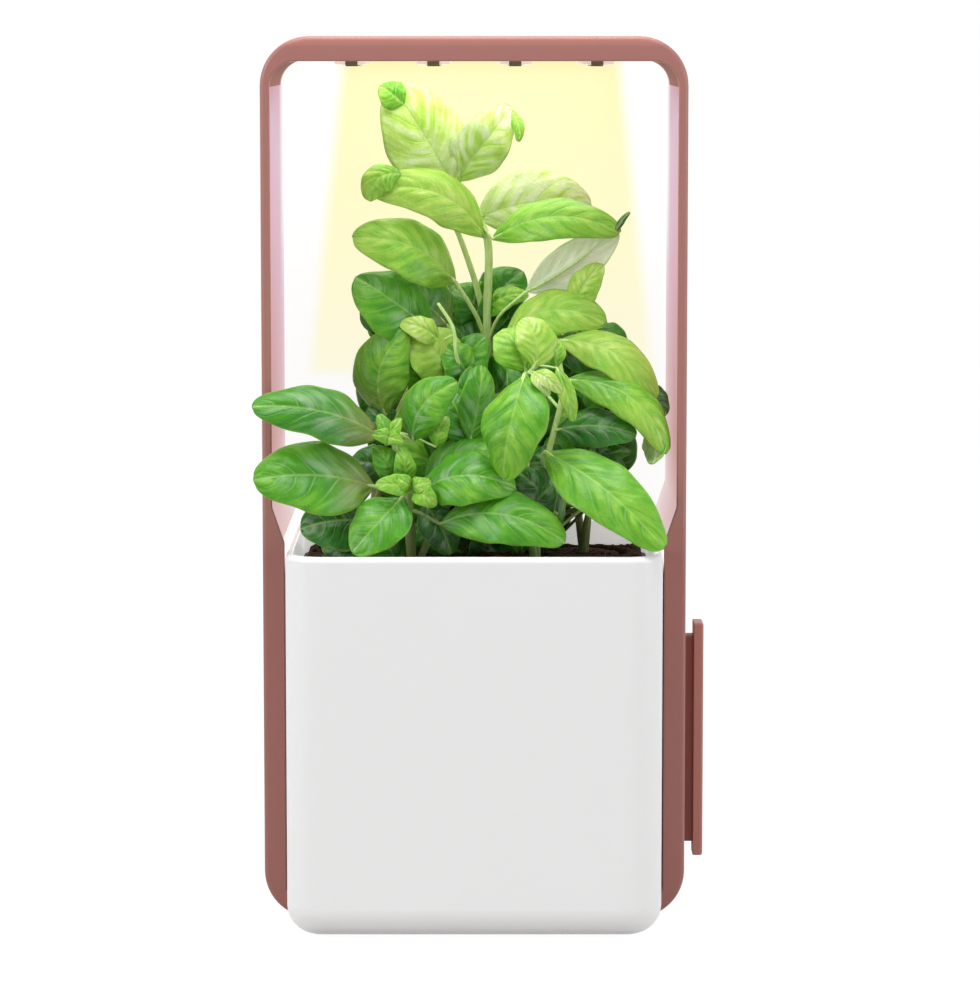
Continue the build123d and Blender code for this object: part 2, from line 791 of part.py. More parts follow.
port_hole = (port_size[0] + 2 * deck_gap, port_size[1] + 2 * deck_gap)
with BuildPart() as grow_deck:
    with BuildSketch(Plane.XY.offset(deck_foot)):
        tub_outline(deck_inset)
        with Locations(*pot_places):
            Circle(pot_top_radius + deck_gap, mode=Mode.SUBTRACT)
        with Locations(float_place):
            Circle(guide_radius + deck_gap, mode=Mode.SUBTRACT)
        with Locations(port_place):
            Rectangle(*port_hole, mode=Mode.SUBTRACT)
    extrude(amount=deck_thickness)
    with BuildSketch(Plane.XY.offset(deck_top)):
        tub_outline(deck_inset)
        tub_outline(deck_inset + deck_lip, mode=Mode.SUBTRACT)
    extrude(amount=deck_lip_height - deck_thickness)
store(grow_deck, "grow_deck")

port_x, port_y = port_place
port_rear = port_y + port_size[1] / 2
hinge_y = port_rear + hinge_radius + flap_gap
hinge_z = deck_top + port_stand + flap_gap + flap_thickness / 2
well_low_y = port_y - port_size[1] / 2 - port_clearance
well_high_y = hinge_y + hinge_radius + port_clearance
with BuildPart() as coco_bed:
    with BuildSketch(Plane.XY.offset(deck_top)):
        tub_outline(deck_inset + deck_lip + bed_gap)
        with Locations(*pot_places):
            Circle(pot_flange_radius + bed_gap, mode=Mode.SUBTRACT)
        with Locations(float_place):
            Circle(guide_flange_radius + bed_gap, mode=Mode.SUBTRACT)
        with Locations((port_x, (well_low_y + well_high_y) / 2)):
            Rectangle(
                port_size[0] + 2 * port_clearance, well_high_y - well_low_y, mode=Mode.SUBTRACT
            )
    extrude(amount=bed_top - deck_top)
store(coco_bed, "coco_bed")

with BuildPart() as net_pot:
    with BuildSketch(Plane.XZ):
        with BuildLine():
            Polyline(
                (0, pot_foot),
                (pot_foot_radius, pot_foot),
                (pot_top_radius, deck_top),
                (pot_flange_radius, deck_top),
                (pot_flange_radius, pot_top),
                (pot_top_radius - pot_wall, pot_top),
                (pot_foot_radius - pot_wall, pot_foot + pot_wall),
                (0, pot_foot + pot_wall),
                close=True,
            )
        make_face()
    revolve(axis=Axis.Z)
    with BuildSketch(Plane.XY.offset(pot_foot + pot_slot_foot)):
        with PolarLocations(pot_top_radius, pot_slots):
            Rectangle(pot_top_radius, pot_slot_width)
    extrude(amount=pot_slot_length, mode=Mode.SUBTRACT)

pot_slope = (pot_top_radius - pot_foot_radius) / (deck_top - pot_foot)
plug_foot = pot_foot + pot_wall + plug_gap
plug_foot_radius = pot_foot_radius - pot_wall - plug_gap
plug_top_radius = plug_foot_radius + pot_slope * (plug_top - plug_foot)
with BuildPart() as grow_plug:
    with BuildSketch(Plane.XZ):
        with BuildLine():
            Polyline(
                (0, plug_foot),
                (plug_foot_radius, plug_foot),
                (plug_top_radius, plug_top),
                (0, plug_top),
                close=True,
            )
        make_face()
    revolve(axis=Axis.Z)

with BuildPart() as grow_plugs:
    with Locations(*pot_places):
        add(grow_plug.part)
store(grow_plugs, "grow_plugs")

for number, (place, crown) in enumerate(zip(pot_places, crowns), start=1):
    with BuildPart() as placed_pot:
        with Locations(place):
            add(net_pot.part)
    store(placed_pot, f"net_pot_{number}")
    crown_radius, foot_rise, top_rise = crown
    crown_foot = plug_top + crown_scale * foot_rise
    crown_top = plug_top + crown_scale * top_rise
    plant_plane = Plane(origin=(place[0], place[1], 0), x_dir=(1, 0, 0), z_dir=(0, -1, 0))
    with BuildPart() as basil:
        with BuildSketch(plant_plane):
            with Locations((0, (crown_foot + crown_top) / 2)):
                Ellipse(crown_radius, (crown_top - crown_foot) / 2)
            with Locations((0, plug_top)):
                Rectangle(
                    stem_radius,
                    (crown_foot + crown_top) / 2 - plug_top,
                    align=(Align.MIN, Align.MIN),
                )
            with Locations((0, hoop_mid)):
                Rectangle(
                    2 * crown_radius,
                    2 * hoop_height,
                    align=(Align.MIN, Align.CENTER),
                    mode=Mode.INTERSECT,
                )
        revolve(axis=Axis((place[0], place[1], 0), (0, 0, 1)))
    store(basil, f"basil_{number}")

# ================================================================ pump
pump_top = tub_floor + pump_height
chamber_floor = tub_floor + pump_base_thickness
impeller_foot = chamber_floor + impeller_gap
with BuildPart() as pump_base:
    with BuildSketch(Plane.XY.offset(tub_floor)):
        with Locations(pump_place):
            Circle(pump_radius)
    extrude(amount=pump_base_thickness)
    with BuildSketch(Plane.XY.offset(tub_floor + pump_base_thickness / 2)):
        with Locations(pump_place):
            Circle(pump_shaft_radius)
    extrude(amount=pump_base_thickness / 2, mode=Mode.SUBTRACT)
store(pump_base, "pump_base")

with BuildPart() as pump_shaft:
    with BuildSketch(Plane.XY.offset(tub_floor + pump_base_thickness / 2)):
        with Locations(pump_place):
            Circle(pump_shaft_radius)
    extrude(amount=pump_shaft_length)
store(pump_shaft, "pump_shaft")

with BuildPart() as pump_housing:
    with BuildSketch(Plane.XY.offset(chamber_floor)):
        with Locations(pump_place):
            Circle(pump_radius)
    extrude(amount=pump_top - chamber_floor)
    fillet(pump_housing.edges().filter_by(GeomType.CIRCLE).sort_by(Axis.Z)[-1], radius=pump_wall)
    with BuildSketch(Plane.XY.offset(pump_top)):
        with Locations(pump_place):
            Circle(spigot_radius)
    extrude(amount=spigot_height)
    with BuildSketch(Plane.XY.offset(chamber_floor)):
        with Locations(pump_place):
            Circle(pump_radius - pump_wall)
    extrude(amount=pump_top - pump_wall - chamber_floor, mode=Mode.SUBTRACT)
    with BuildSketch(Plane.XY.offset(pump_top - pump_wall)):
        with Locations(pump_place):
            Circle(spigot_bore)
    extrude(amount=pump_wall + spigot_height, mode=Mode.SUBTRACT)
    with BuildSketch(Plane.XY.offset(chamber_floor + pump_wall)):
        with Locations(pump_place):
            with PolarLocations(pump_radius, intake_slots):
                Rectangle(pump_radius / 2, intake_width)
    extrude(amount=intake_height, mode=Mode.SUBTRACT)
store(pump_housing, "pump_housing")

with BuildPart() as riser_tube:
    with BuildSketch(Plane.XY.offset(pump_top)):
        with Locations(pump_place):
            Circle(tube_radius)
            Circle(spigot_radius, mode=Mode.SUBTRACT)
    extrude(amount=deck_foot - tube_top_gap - pump_top)
store(riser_tube, "riser_tube")

with BuildPart() as impeller_magnet:
    with BuildSketch(Plane.XY.offset(impeller_foot)):
        with Locations(pump_place):
            Circle(impeller_radius)
            Circle(impeller_hub_radius, mode=Mode.SUBTRACT)
    extrude(amount=impeller_disc)
store(impeller_magnet, "impeller_magnet")

with BuildPart() as impeller:
    with BuildSketch(Plane.XY.offset(impeller_foot)):
        with Locations(pump_place):
            Circle(impeller_hub_radius)
    extrude(amount=impeller_disc)
    with BuildSketch(Plane.XY.offset(impeller_foot + impeller_disc)):
        with Locations(pump_place):
            Circle(impeller_hub_radius)
            with PolarLocations(impeller_radius / 2, blade_count):
                Rectangle(impeller_radius - 2 * running_clearance, blade_thickness)
    extrude(amount=blade_height)
    with BuildSketch(Plane.XY.offset(impeller_foot)):
        with Locations(pump_place):
            Circle(pump_shaft_radius + running_clearance)
    extrude(amount=impeller_disc + blade_height, mode=Mode.SUBTRACT)
store(impeller, "impeller")

# ================================================================ float
guide_foot = deck_top - guide_length
guide_bore = guide_radius - guide_wall
cap_foot = deck_top + guide_flange
cap_top = cap_foot + guide_cap_thickness
with BuildPart() as float_guide:
    with BuildSketch(Plane.XY.offset(guide_foot)):
        with Locations(float_place):
            Circle(guide_radius)
    extrude(amount=guide_length)
    with BuildSketch(Plane.XY.offset(deck_top)):
        with Locations(float_place):
            Circle(guide_flange_radius)
    extrude(amount=guide_flange)
    with BuildSketch(Plane.XY.offset(guide_foot + guide_wall)):
        with Locations(float_place):
            Circle(guide_bore)
    extrude(amount=guide_length + guide_flange, mode=Mode.SUBTRACT)
    with BuildSketch(Plane.XY.offset(guide_foot)):
        with Locations(float_place):
            Circle(guide_bore / 2)
    extrude(amount=guide_wall, mode=Mode.SUBTRACT)
    with BuildSketch(Plane.XY.offset(guide_foot + 3 * guide_wall)):
        with Locations(float_place):
            with PolarLocations(guide_radius, guide_windows):
                Rectangle(guide_radius, guide_window[0])
    extrude(amount=guide_window[1], mode=Mode.SUBTRACT)
store(float_guide, "float_guide")

with BuildPart() as guide_cap:
    with BuildSketch(Plane.XY.offset(cap_foot)):
        with Locations(float_place):
            Circle(guide_flange_radius)
            Circle(float_stem_radius + float_stem_gap, mode=Mode.SUBTRACT)
    extrude(amount=guide_cap_thickness)
    fillet(guide_cap.edges().filter_by(GeomType.CIRCLE).group_by(Axis.Z)[-1][-1], radius=guide_wall / 2)
store(guide_cap, "guide_cap")

float_foot = guide_foot + guide_wall + float_rest_gap
float_top = float_foot + float_length
knob_foot = cap_top + float_knob_gap
with BuildPart() as float_body:
    with BuildSketch(Plane.XY.offset(float_foot)):
        with Locations(float_place):
            Circle(float_radius)
    extrude(amount=float_length)
    fillet(float_body.edges().filter_by(GeomType.CIRCLE), radius=float_radius / 4)
    with BuildSketch(Plane.XY.offset(float_top - float_bore_depth)):
        with Locations(float_place):
            Circle(float_stem_radius)
    extrude(amount=float_bore_depth, mode=Mode.SUBTRACT)
store(float_body, "float_body")

with BuildPart() as float_stem:
    with BuildSketch(Plane.XY.offset(float_top - float_bore_depth)):
        with Locations(float_place):
            Circle(float_stem_radius)
    extrude(amount=knob_foot - float_top + float_bore_depth)
    with BuildSketch(Plane.XY.offset(knob_foot)):
        with Locations(float_place):
            Circle(float_knob_radius)
    extrude(amount=float_knob_height)
    fillet(float_stem.edges().filter_by(GeomType.CIRCLE).sort_by(Axis.Z)[-1], radius=float_knob_height / 3)
store(float_stem, "float_stem")

# ================================================================ filling port
port_rim = deck_top + port_stand
hinge_plane = Plane.YZ.offset(port_x)
middle_knuckle = port_size[0] - 2 * knuckle_length - 2 * knuckle_gap


def hinge_disc(radius, mode=Mode.ADD):
    """Draws a disc on the flap's hinge axis, in a sketch that looks along it."""
    with Locations((hinge_y, hinge_z)):
        Circle(radius, mode=mode)


with BuildPart() as fill_port:
    with BuildSketch(Plane.XY.offset(deck_top - port_chute)):
        with Locations(port_place):
            Rectangle(*port_size)
    extrude(amount=port_rim - deck_top + port_chute)
    with BuildSketch(Plane.XY.offset(deck_top)):
        with Locations(port_place):
            Rectangle(port_size[0] + 2 * port_flange_width, port_size[1] + 2 * port_flange_width)
    extrude(amount=port_flange)
    with BuildSketch(Plane.XY.offset(deck_top - port_chute)):
        with Locations(port_place):
            Rectangle(port_size[0] - 2 * port_wall, port_size[1] - 2 * port_wall)
    extrude(amount=port_chute + port_stand, mode=Mode.SUBTRACT)
    # a knuckle at each end of the hinge, on a web that stands on the flange
    for sign in (-1, 1):
        with BuildSketch(hinge_plane.offset(sign * (port_size[0] / 2 - knuckle_length))):
            hinge_disc(hinge_radius)
            with Locations((port_rear, deck_top)):
                Rectangle(
                    hinge_y - port_rear + hinge_radius,
                    hinge_z - deck_top,
                    align=(Align.MIN, Align.MIN),
                )
            hinge_disc(hinge_pin_radius, mode=Mode.SUBTRACT)
        extrude(amount=sign * knuckle_length)
store(fill_port, "fill_port")

with BuildPart() as flap_pin:
    with BuildSketch(hinge_plane):
        hinge_disc(hinge_pin_radius)
    extrude(amount=port_size[0] / 2, both=True)
store(flap_pin, "flap_pin")

with BuildPart() as fill_flap:
    with BuildSketch(Plane.XY.offset(port_rim + flap_gap)):
        with Locations((port_x, port_y - flap_gap / 2)):
            RectangleRounded(port_size[0], port_size[1] - flap_gap, radius=port_wall)
        with Locations((port_x, port_rear - port_wall)):
            Rectangle(middle_knuckle, hinge_y - port_rear + port_wall, align=(Align.CENTER, Align.MIN))
    extrude(amount=flap_thickness)
    with BuildSketch(hinge_plane):
        hinge_disc(hinge_radius)
    extrude(amount=middle_knuckle / 2, both=True)
    with BuildSketch(hinge_plane):
        hinge_disc(hinge_pin_radius + running_clearance)
    extrude(amount=middle_knuckle / 2, both=True, mode=Mode.SUBTRACT)
store(fill_flap, "fill_flap")
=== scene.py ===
# %% [markdown]
# # A countertop hydroponic garden
# The hard parts (hoop, tub, lamp, rocker, pump, float) come ready made and in place from the packed
# model. This notebook gives each of them its finish, and grows what a solid model can't hold: five
# basil plants, leaf by leaf, and the crumbly growing medium that they stand in.

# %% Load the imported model
import math
import random
from collections import namedtuple

import bmesh
import bpy
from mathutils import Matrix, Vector, noise


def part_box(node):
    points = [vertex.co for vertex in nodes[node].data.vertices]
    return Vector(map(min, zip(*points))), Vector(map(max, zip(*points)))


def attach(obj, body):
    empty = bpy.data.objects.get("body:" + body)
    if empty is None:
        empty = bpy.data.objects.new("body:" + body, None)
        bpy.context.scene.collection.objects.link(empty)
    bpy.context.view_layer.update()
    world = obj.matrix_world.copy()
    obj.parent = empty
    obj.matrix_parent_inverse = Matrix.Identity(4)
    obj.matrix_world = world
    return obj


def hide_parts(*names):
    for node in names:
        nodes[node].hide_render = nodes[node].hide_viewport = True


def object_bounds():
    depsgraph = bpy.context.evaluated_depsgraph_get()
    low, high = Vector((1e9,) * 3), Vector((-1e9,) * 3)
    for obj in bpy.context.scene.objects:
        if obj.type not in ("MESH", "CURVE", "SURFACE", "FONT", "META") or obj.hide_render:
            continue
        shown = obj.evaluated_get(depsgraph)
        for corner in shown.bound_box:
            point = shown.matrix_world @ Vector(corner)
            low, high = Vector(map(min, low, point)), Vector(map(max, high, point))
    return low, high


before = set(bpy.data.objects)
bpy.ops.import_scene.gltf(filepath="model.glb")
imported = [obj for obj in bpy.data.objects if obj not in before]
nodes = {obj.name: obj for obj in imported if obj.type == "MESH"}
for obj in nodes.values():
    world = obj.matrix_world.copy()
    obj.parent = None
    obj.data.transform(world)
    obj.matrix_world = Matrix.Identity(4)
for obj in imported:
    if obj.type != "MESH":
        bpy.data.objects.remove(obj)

MM = 0.001  # Blender's lengths are metres
cad_low, cad_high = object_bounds()
print("CAD box, mm:", [round(v / MM) for v in (*cad_low, *cad_high)])

# %% [markdown]
# ## Colours and nodes
# Designers write colours as sRGB hex codes, but a shader adds light up, which only works on linear
# values. One function turns the first into the second. A second one fills a node's sockets with
# values or links, and a third one adds a shader node with its settings and sockets in a single line,
# so that a material reads like a recipe.

# %% Helpers for materials
def linear(code):
    """An sRGB hex code, such as a6756a, as the linear colour that a socket holds."""
    shares = [int(code[i:i + 2], 16) / 255 for i in (0, 2, 4)]
    return [s / 12.92 if s <= 0.04045 else ((s + 0.055) / 1.055) ** 2.4 for s in shares] + [1.0]


def plug(node, inputs):
    """Fills a node's sockets with values, outputs to link, or nodes, whose first output counts."""
    for name, value in inputs.items():
        if isinstance(value, bpy.types.Node):
            value = value.outputs[0]
        if isinstance(value, bpy.types.NodeSocket):
            node.id_data.links.new(value, node.inputs[name])
        else:
            node.inputs[name].default_value = value


def add(tree, kind, inputs=None, stops=None, **settings):
    """Adds a shader node of a kind. stops are a colour ramp's (place, hex code)."""
    node = tree.nodes.new("ShaderNode" + kind)
    for name, value in settings.items():
        setattr(node, name, value)
    plug(node, inputs or {})
    for number, (place, code) in enumerate(stops or []):
        elements = node.color_ramp.elements
        element = elements[number] if number < len(elements) else elements.new(place)
        element.position = place
        element.color = linear(code)
    return node


def blank(name, code, roughness, metallic=0.0, ior=1.5):
    """A new material: its node tree, its shader, and the place on the object in metres."""
    material = bpy.data.materials.new(name)
    material.use_nodes = True
    tree = material.node_tree
    shader = tree.nodes["Principled BSDF"]
    plug(shader, {"Base Color": linear(code), "Roughness": roughness, "Metallic": metallic})
    if not metallic:
        plug(shader, {"IOR": ior})
    place = add(tree, "TexCoord").outputs["Object"]
    return material, tree, shader, place


def coat(material, *names):
    """Gives a finish to CAD nodes."""
    for name in names:
        for slot in nodes[name].material_slots:
            slot.material = material
    print(f"{material.name}: {', '.join(names)}")


MIX_A, MIX_B, MIX_COLOUR = 6, 7, 2  # the Mix node's colour inputs and its colour output

# %% [markdown]
# ## Camera
# The garden is shown nearly face on, from the height of its lamp, with a long lens: a short one would
# swell the tub, which stands forward of the hoop. A camera that looks down makes upright lines lean.
# An architect's camera shifts the lens to keep them upright. Here a small shift takes out part of
# the lean, and leaves the object centred in every other view.

# %% Camera
FRAME_WIDTH, FRAME_HEIGHT = 980, 981
focal_pixels = 3715.0
eye = Vector((7.4, -1798.0, 418.0)) * MM
look_down = math.radians(6.16)
lens_shift = -0.05

camera_data = bpy.data.cameras.new("camera")
camera_data.sensor_width = 36.0
camera_data.lens = focal_pixels * camera_data.sensor_width / FRAME_HEIGHT
camera_data.shift_y = lens_shift
camera = bpy.data.objects.new("camera", camera_data)
camera.location = eye
camera.rotation_euler = (math.pi / 2 - look_down, 0, 0)
bpy.context.scene.collection.objects.link(camera)
bpy.context.scene.camera = camera

axis_row = FRAME_HEIGHT / 2 + lens_shift * FRAME_HEIGHT
forward = Vector((0, math.cos(look_down), -math.sin(look_down)))
upward = Vector((0, math.sin(look_down), math.cos(look_down)))


def seen_at(column, row, depth):
    """The point that shows at a column and row of the frame, depth mm behind the hoop's middle."""
    right = Vector((1, 0, 0)) * (column - FRAME_WIDTH / 2)
    ray = right + upward * (axis_row - row) + forward * focal_pixels
    return eye + ray * ((depth * MM - eye.y) / ray.y)


print(f"lens {camera_data.lens:.1f} mm, {-eye.y:.2f} m in front of the hoop's middle")

# %% [markdown]
# ## Floor, air and lamps
# A plain pale floor catches the object's shadow. It could be lit until it is white, but then the object
# would be too bright as well. Instead a Light Path node lets the camera see the floor and the air as
# white while they light the object at a plain level. Soft boxes, which are large area lamps, draw the
# broad highlights on the leaves, helped by a painted sheen on old leaves. They also draw the bright
# line along the hoop's top edge, which is partly a painted highlight in the hoop's colour.

# %% Floor
def ray_is_seen(tree):
    """1 on a ray that shows its surroundings: straight from the camera, mirrored or refracted."""
    path = add(tree, "LightPath")
    mirrored = add(tree, "Math", {0: path.outputs["Is Camera Ray"],
                   1: path.outputs["Is Glossy Ray"]}, operation="MAXIMUM")
    return add(tree, "Math", {0: mirrored,
               1: path.outputs["Is Transmission Ray"]}, operation="MAXIMUM").outputs[0]


floor_radius = 3.0
floor_glow = 0.80  # how much of the floor's white the camera sees is its own
floor_mesh = bpy.data.meshes.new("floor")
builder = bmesh.new()
bmesh.ops.create_circle(builder, cap_ends=True, segments=96, radius=floor_radius)
builder.to_mesh(floor_mesh)
builder.free()
floor = bpy.data.objects.new("floor", floor_mesh)
bpy.context.scene.collection.objects.link(floor)

floor_material, tree, shader, place = blank("pale painted floor", "bab8b5", 0.9)
plug(shader, {"Specular IOR Level": 0.1})
white = add(tree, "Emission", {"Color": linear("ffffff"), "Strength": 1.2})
share = add(tree, "Math", {0: ray_is_seen(tree), 1: floor_glow}, operation="MULTIPLY")
mixed = add(tree, "MixShader", {0: share, 1: shader, 2: white})
plug(tree.nodes["Material Output"], {"Surface": mixed})
floor_mesh.materials.append(floor_material)
print(f"floor {2 * floor_radius:.0f} m across")

# %% Air
air_strength = 0.53
world = bpy.data.worlds.new("pale studio air")
world.use_nodes = True
bpy.context.scene.world = world
tree = world.node_tree
lit = add(tree, "Background", {"Color": linear("ffffff"), "Strength": air_strength})
seen = add(tree, "Background", {"Color": linear("ffffff"), "Strength": 1.0})
mixed = add(tree, "MixShader", {0: ray_is_seen(tree), 1: lit, 2: seen})
plug(tree.nodes["World Output"], {"Surface": mixed})
bpy.context.scene.view_settings.view_transform = "Standard"
print(f"air at {air_strength}")

# %% Soft boxes
middle = (cad_low + cad_high) / 2


def soft_box(name, place, size, power, code="ffffff"):
    """A square lamp that faces the object's middle. Place in metres, power in watts."""
    data = bpy.data.lights.new(name, "AREA")
    data.shape = "SQUARE"
    data.size = size
    data.energy = power
    data.color = linear(code)[:3]
    lamp = bpy.data.objects.new(name, data)
    lamp.location = place
    lamp.rotation_euler = (middle - Vector(place)).to_track_quat("-Z", "Y").to_euler()
    bpy.context.scene.collection.objects.link(lamp)
    print(f"{name}: {power} W")


soft_box("key_left", (-2.0, -1.2, 1.1), 0.9, 22)
soft_box("fill_right", (2.0, -0.8, 0.6), 0.9, 13)
soft_box("top_box", (0.0, -0.3, 1.7), 0.8, 14)

# %% [markdown]
# ## Rose ABS: the hoop, its covers and the rocker
# The hoop is injection-moulded ABS in a dusty rose brown, coloured right through. The steel mould was
# spark eroded, which leaves a fine even grain and a satin sheen without sharp reflections. Painted
# texture images could show the grain, but noise in the shader follows every face with no seams.
# The grain's real width is about 0.1 mm; it is drawn at 0.7 mm so that it shows at all.

# %% Moulded plastics
def place_share(tree, place, axis, low, high):
    """How far a point lies from low to high along an axis of the object, from 0 to 1."""
    split = add(tree, "SeparateXYZ", {0: place})
    return add(tree, "MapRange", {"Value": split.outputs[axis], "From Min": low,
               "From Max": high}).outputs[0]


painted_light_front, painted_light_back = -50 * MM, -25 * MM  # depths between which the painted shade and painted highlight on the front end


def moulded(name, code, roughness, grain=0.7, depth=0.006, drift="000000", drift_share=0.05,
            ior=1.53,
            tones=None):
    """A moulded plastic. grain and depth are its mould's texture in mm; drift is a slow second tone.
    tones, if given, are painted shade and painted highlight on its front, at shares of the whole
    object's height."""
    material, tree, shader, place = blank(name, code, roughness, ior=ior)
    slow = add(tree, "TexNoise", {"Vector": place, "Scale": 1 / (30 * MM), "Detail": 2.0})
    amount = add(tree, "Math", {0: slow, 1: drift_share}, operation="MULTIPLY")
    main = linear(code)
    # painted light: the front's colour follows a ramp by height, darker low down as painted shade and
    # lighter at the top edge as a painted highlight
    if tones:
        height = place_share(tree, place, 2, cad_low.z, cad_high.z)
        painted_light_tone = add(tree, "ValToRGB", {"Fac": height}, tones).outputs[0]
        behind = place_share(tree, place, 1, painted_light_front, painted_light_back)
        main = add(tree, "Mix", {"Factor": behind, MIX_A: painted_light_tone, MIX_B: linear(code)},
                   data_type="RGBA").outputs[MIX_COLOUR]
    tone = add(tree, "Mix", {"Factor": amount, MIX_A: main, MIX_B: linear(drift)},
               data_type="RGBA")
    plug(shader, {"Base Color": tone.outputs[MIX_COLOUR]})
    fine = add(tree, "TexNoise", {"Vector": place, "Scale": 1 / (grain * MM), "Detail": 3.0})
    sheen = add(tree, "MapRange", {"Value": fine, "To Min": roughness - 0.04,
                "To Max": roughness + 0.04})
    plug(shader, {"Roughness": sheen})
    relief = add(tree, "Bump", {"Height": fine, "Distance": depth * MM})
    plug(shader, {"Normal": relief})
    return material


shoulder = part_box("light_wall_left")[0].z / cad_high.z  # where the hoop widens to hold the tub
# the front is painted darker below the shoulder, as painted shade where the tub stands before it, and
# lighter along its top edge, as a painted highlight
rose_abs = moulded("rose ABS, spark-eroded", "a46f65", 0.40, drift="7d4a42",
                   tones=[(0.0, "975f56"), (shoulder - 0.02, "975f56"), (shoulder + 0.03, "a46f65"),
                          (0.988, "a66e66"), (0.994, "c08074")])
# the rocker's rose is lighter than the hoop's, a painted light for the light it misses beside the hoop;
# the neck's dark rose is painted shade in the gap between hoop and rocker
rocker_abs_painted_light = moulded("rose ABS, rocker", "b37469", 0.40, drift="8c544b")
deep_rose_abs = moulded("deep rose ABS, matt", "8d5a52", 0.5, drift="5e332d")
neck_abs_painted_shade = moulded("neck ABS, dark rose", "8e463b", 0.5, drift="5b2a22")
coat(rose_abs, "hoop_shell")
coat(rocker_abs_painted_light, "rocker_bar")
coat(deep_rose_abs, "base_cover")
coat(neck_abs_painted_shade, "rocker_neck")

# %% [markdown]
# ## White ABS: the tub and the small white parts
# The tub is glossy-satin white, a little grey, and even over its flat front. Its rounded corners and
# its soft foot do the shading. It needs a smoother mould than the hoop, so less grain.

# %% White parts
tub_white = moulded("white ABS, polished mould", "f3f3f4", 0.34, grain=1.2, depth=0.003,
                    drift="c9cacc")
part_white = moulded("white polypropylene", "ebeae6", 0.45, drift="cfcdc8", ior=1.49)
# painted light: above the planting deck the walls inside the rim glow, standing in for the light of the
# lamp and the glowing sheets
painted_rim_light, rim_foot = 0.40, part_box("coco_bed")[0].z
inward_limit = -1 * MM  # a face that looks in has a place times normal below this
tree = tub_white.node_tree
shader, place = tree.nodes["Principled BSDF"], tree.nodes["Texture Coordinate"].outputs["Object"]
tub_middle = (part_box("tub_shell")[0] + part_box("tub_shell")[1]) / 2
reach = add(tree, "VectorMath", {0: place, 1: tub_middle}, operation="SUBTRACT")
level = add(tree, "VectorMath", {0: reach, 1: (1, 1, 0)}, operation="MULTIPLY")
normal = add(tree, "NewGeometry").outputs["Normal"]
outward = add(tree, "VectorMath", {0: level, 1: normal}, operation="DOT_PRODUCT")
inside = add(tree, "Math", {0: outward.outputs["Value"], 1: inward_limit},
             operation="LESS_THAN")
upper = add(tree, "Math", {0: place_share(tree, place, 2, 0, 1), 1: rim_foot},
            operation="GREATER_THAN")
lit = add(tree, "Math", {0: inside, 1: upper}, operation="MULTIPLY")
power = add(tree, "Math", {0: lit, 1: painted_rim_light}, operation="MULTIPLY")
plug(shader, {"Emission Color": linear("f3f3f4"), "Emission Strength": power})
coat(tub_white, "tub_shell")
coat(part_white, "float_guide", "guide_cap", "fill_port", "fill_flap")

# %% [markdown]
# ## Light walls and back panel
# Grow lamps mix red and blue, and the walls beside the plants are opal acrylic that soaks up that
# light: rosy at the front edge, lilac inside, fading to white at the back. The panel behind the plants
# is opal too, and the warm white of the lamp spreads over it in a soft-sided cone. Lamps alone can't
# show this, because a white panel that is lit enough to be white can only clip. So the sheets glow by
# themselves, in colours that change with the height and the depth of each point.

# %% Light walls
wall_low, wall_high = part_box("light_wall_left")


def glow(tree, shader, colour, base_share, strength):
    """Makes a sheet send out its own colour, and reflect only a share of it."""
    dim = add(tree, "Mix", {"Factor": base_share, MIX_A: linear("000000"), MIX_B: colour},
              data_type="RGBA")
    plug(shader, {"Base Color": dim.outputs[MIX_COLOUR], "Emission Color": colour})
    plug(shader, {"Emission Strength": strength})


light_wall, tree, shader, place = blank("opal acrylic, lit edge", "f4eef2", 0.8, ior=1.49)
plug(shader, {"Specular IOR Level": 0.05})  # a matt sheet has no sheen when seen edge on
height = place_share(tree, place, 2, wall_low.z, wall_high.z)
edge = add(tree, "ValToRGB", {"Fac": height},
           [(0.0, "f0d2d2"), (0.1, "e4b8b8"), (0.22, "d8a6a2"), (0.5, "dcaeb6"), (0.72, "e4b8c8"),
            (0.93, "dcbccf"),
            (1.0, "d2a6b0")])
inside = add(tree, "ValToRGB", {"Fac": height},
             [(0.0, "f2dada"), (0.2, "e0b8b6"), (0.5, "e2bccb"), (0.85, "e0c2d6"), (1.0, "d8b2c2")])
depth = place_share(tree, place, 1, wall_low.y, wall_high.y)
front = add(tree, "MapRange", {"Value": depth, "From Min": 0.1, "From Max": 0.7},
            interpolation_type="SMOOTHSTEP")
rear = add(tree, "MapRange", {"Value": depth, "From Min": 0.62, "From Max": 1.0},
           interpolation_type="SMOOTHSTEP")
high = add(tree, "MapRange", {"Value": height, "From Min": 0.45, "From Max": 0.80, "To Min": 0.25},
           interpolation_type="SMOOTHSTEP")
faded = add(tree, "Math", {0: rear, 1: high}, operation="MULTIPLY")
lilac = add(tree, "Mix", {"Factor": front, MIX_A: edge,
            MIX_B: inside}, data_type="RGBA")
opal = add(tree, "Mix", {"Factor": faded, MIX_A: lilac.outputs[MIX_COLOUR],
           MIX_B: linear("ffffff")}, data_type="RGBA")
glow(tree, shader, opal.outputs[MIX_COLOUR], 0.12, 0.80)
coat(light_wall, "light_wall_left", "light_wall_right")

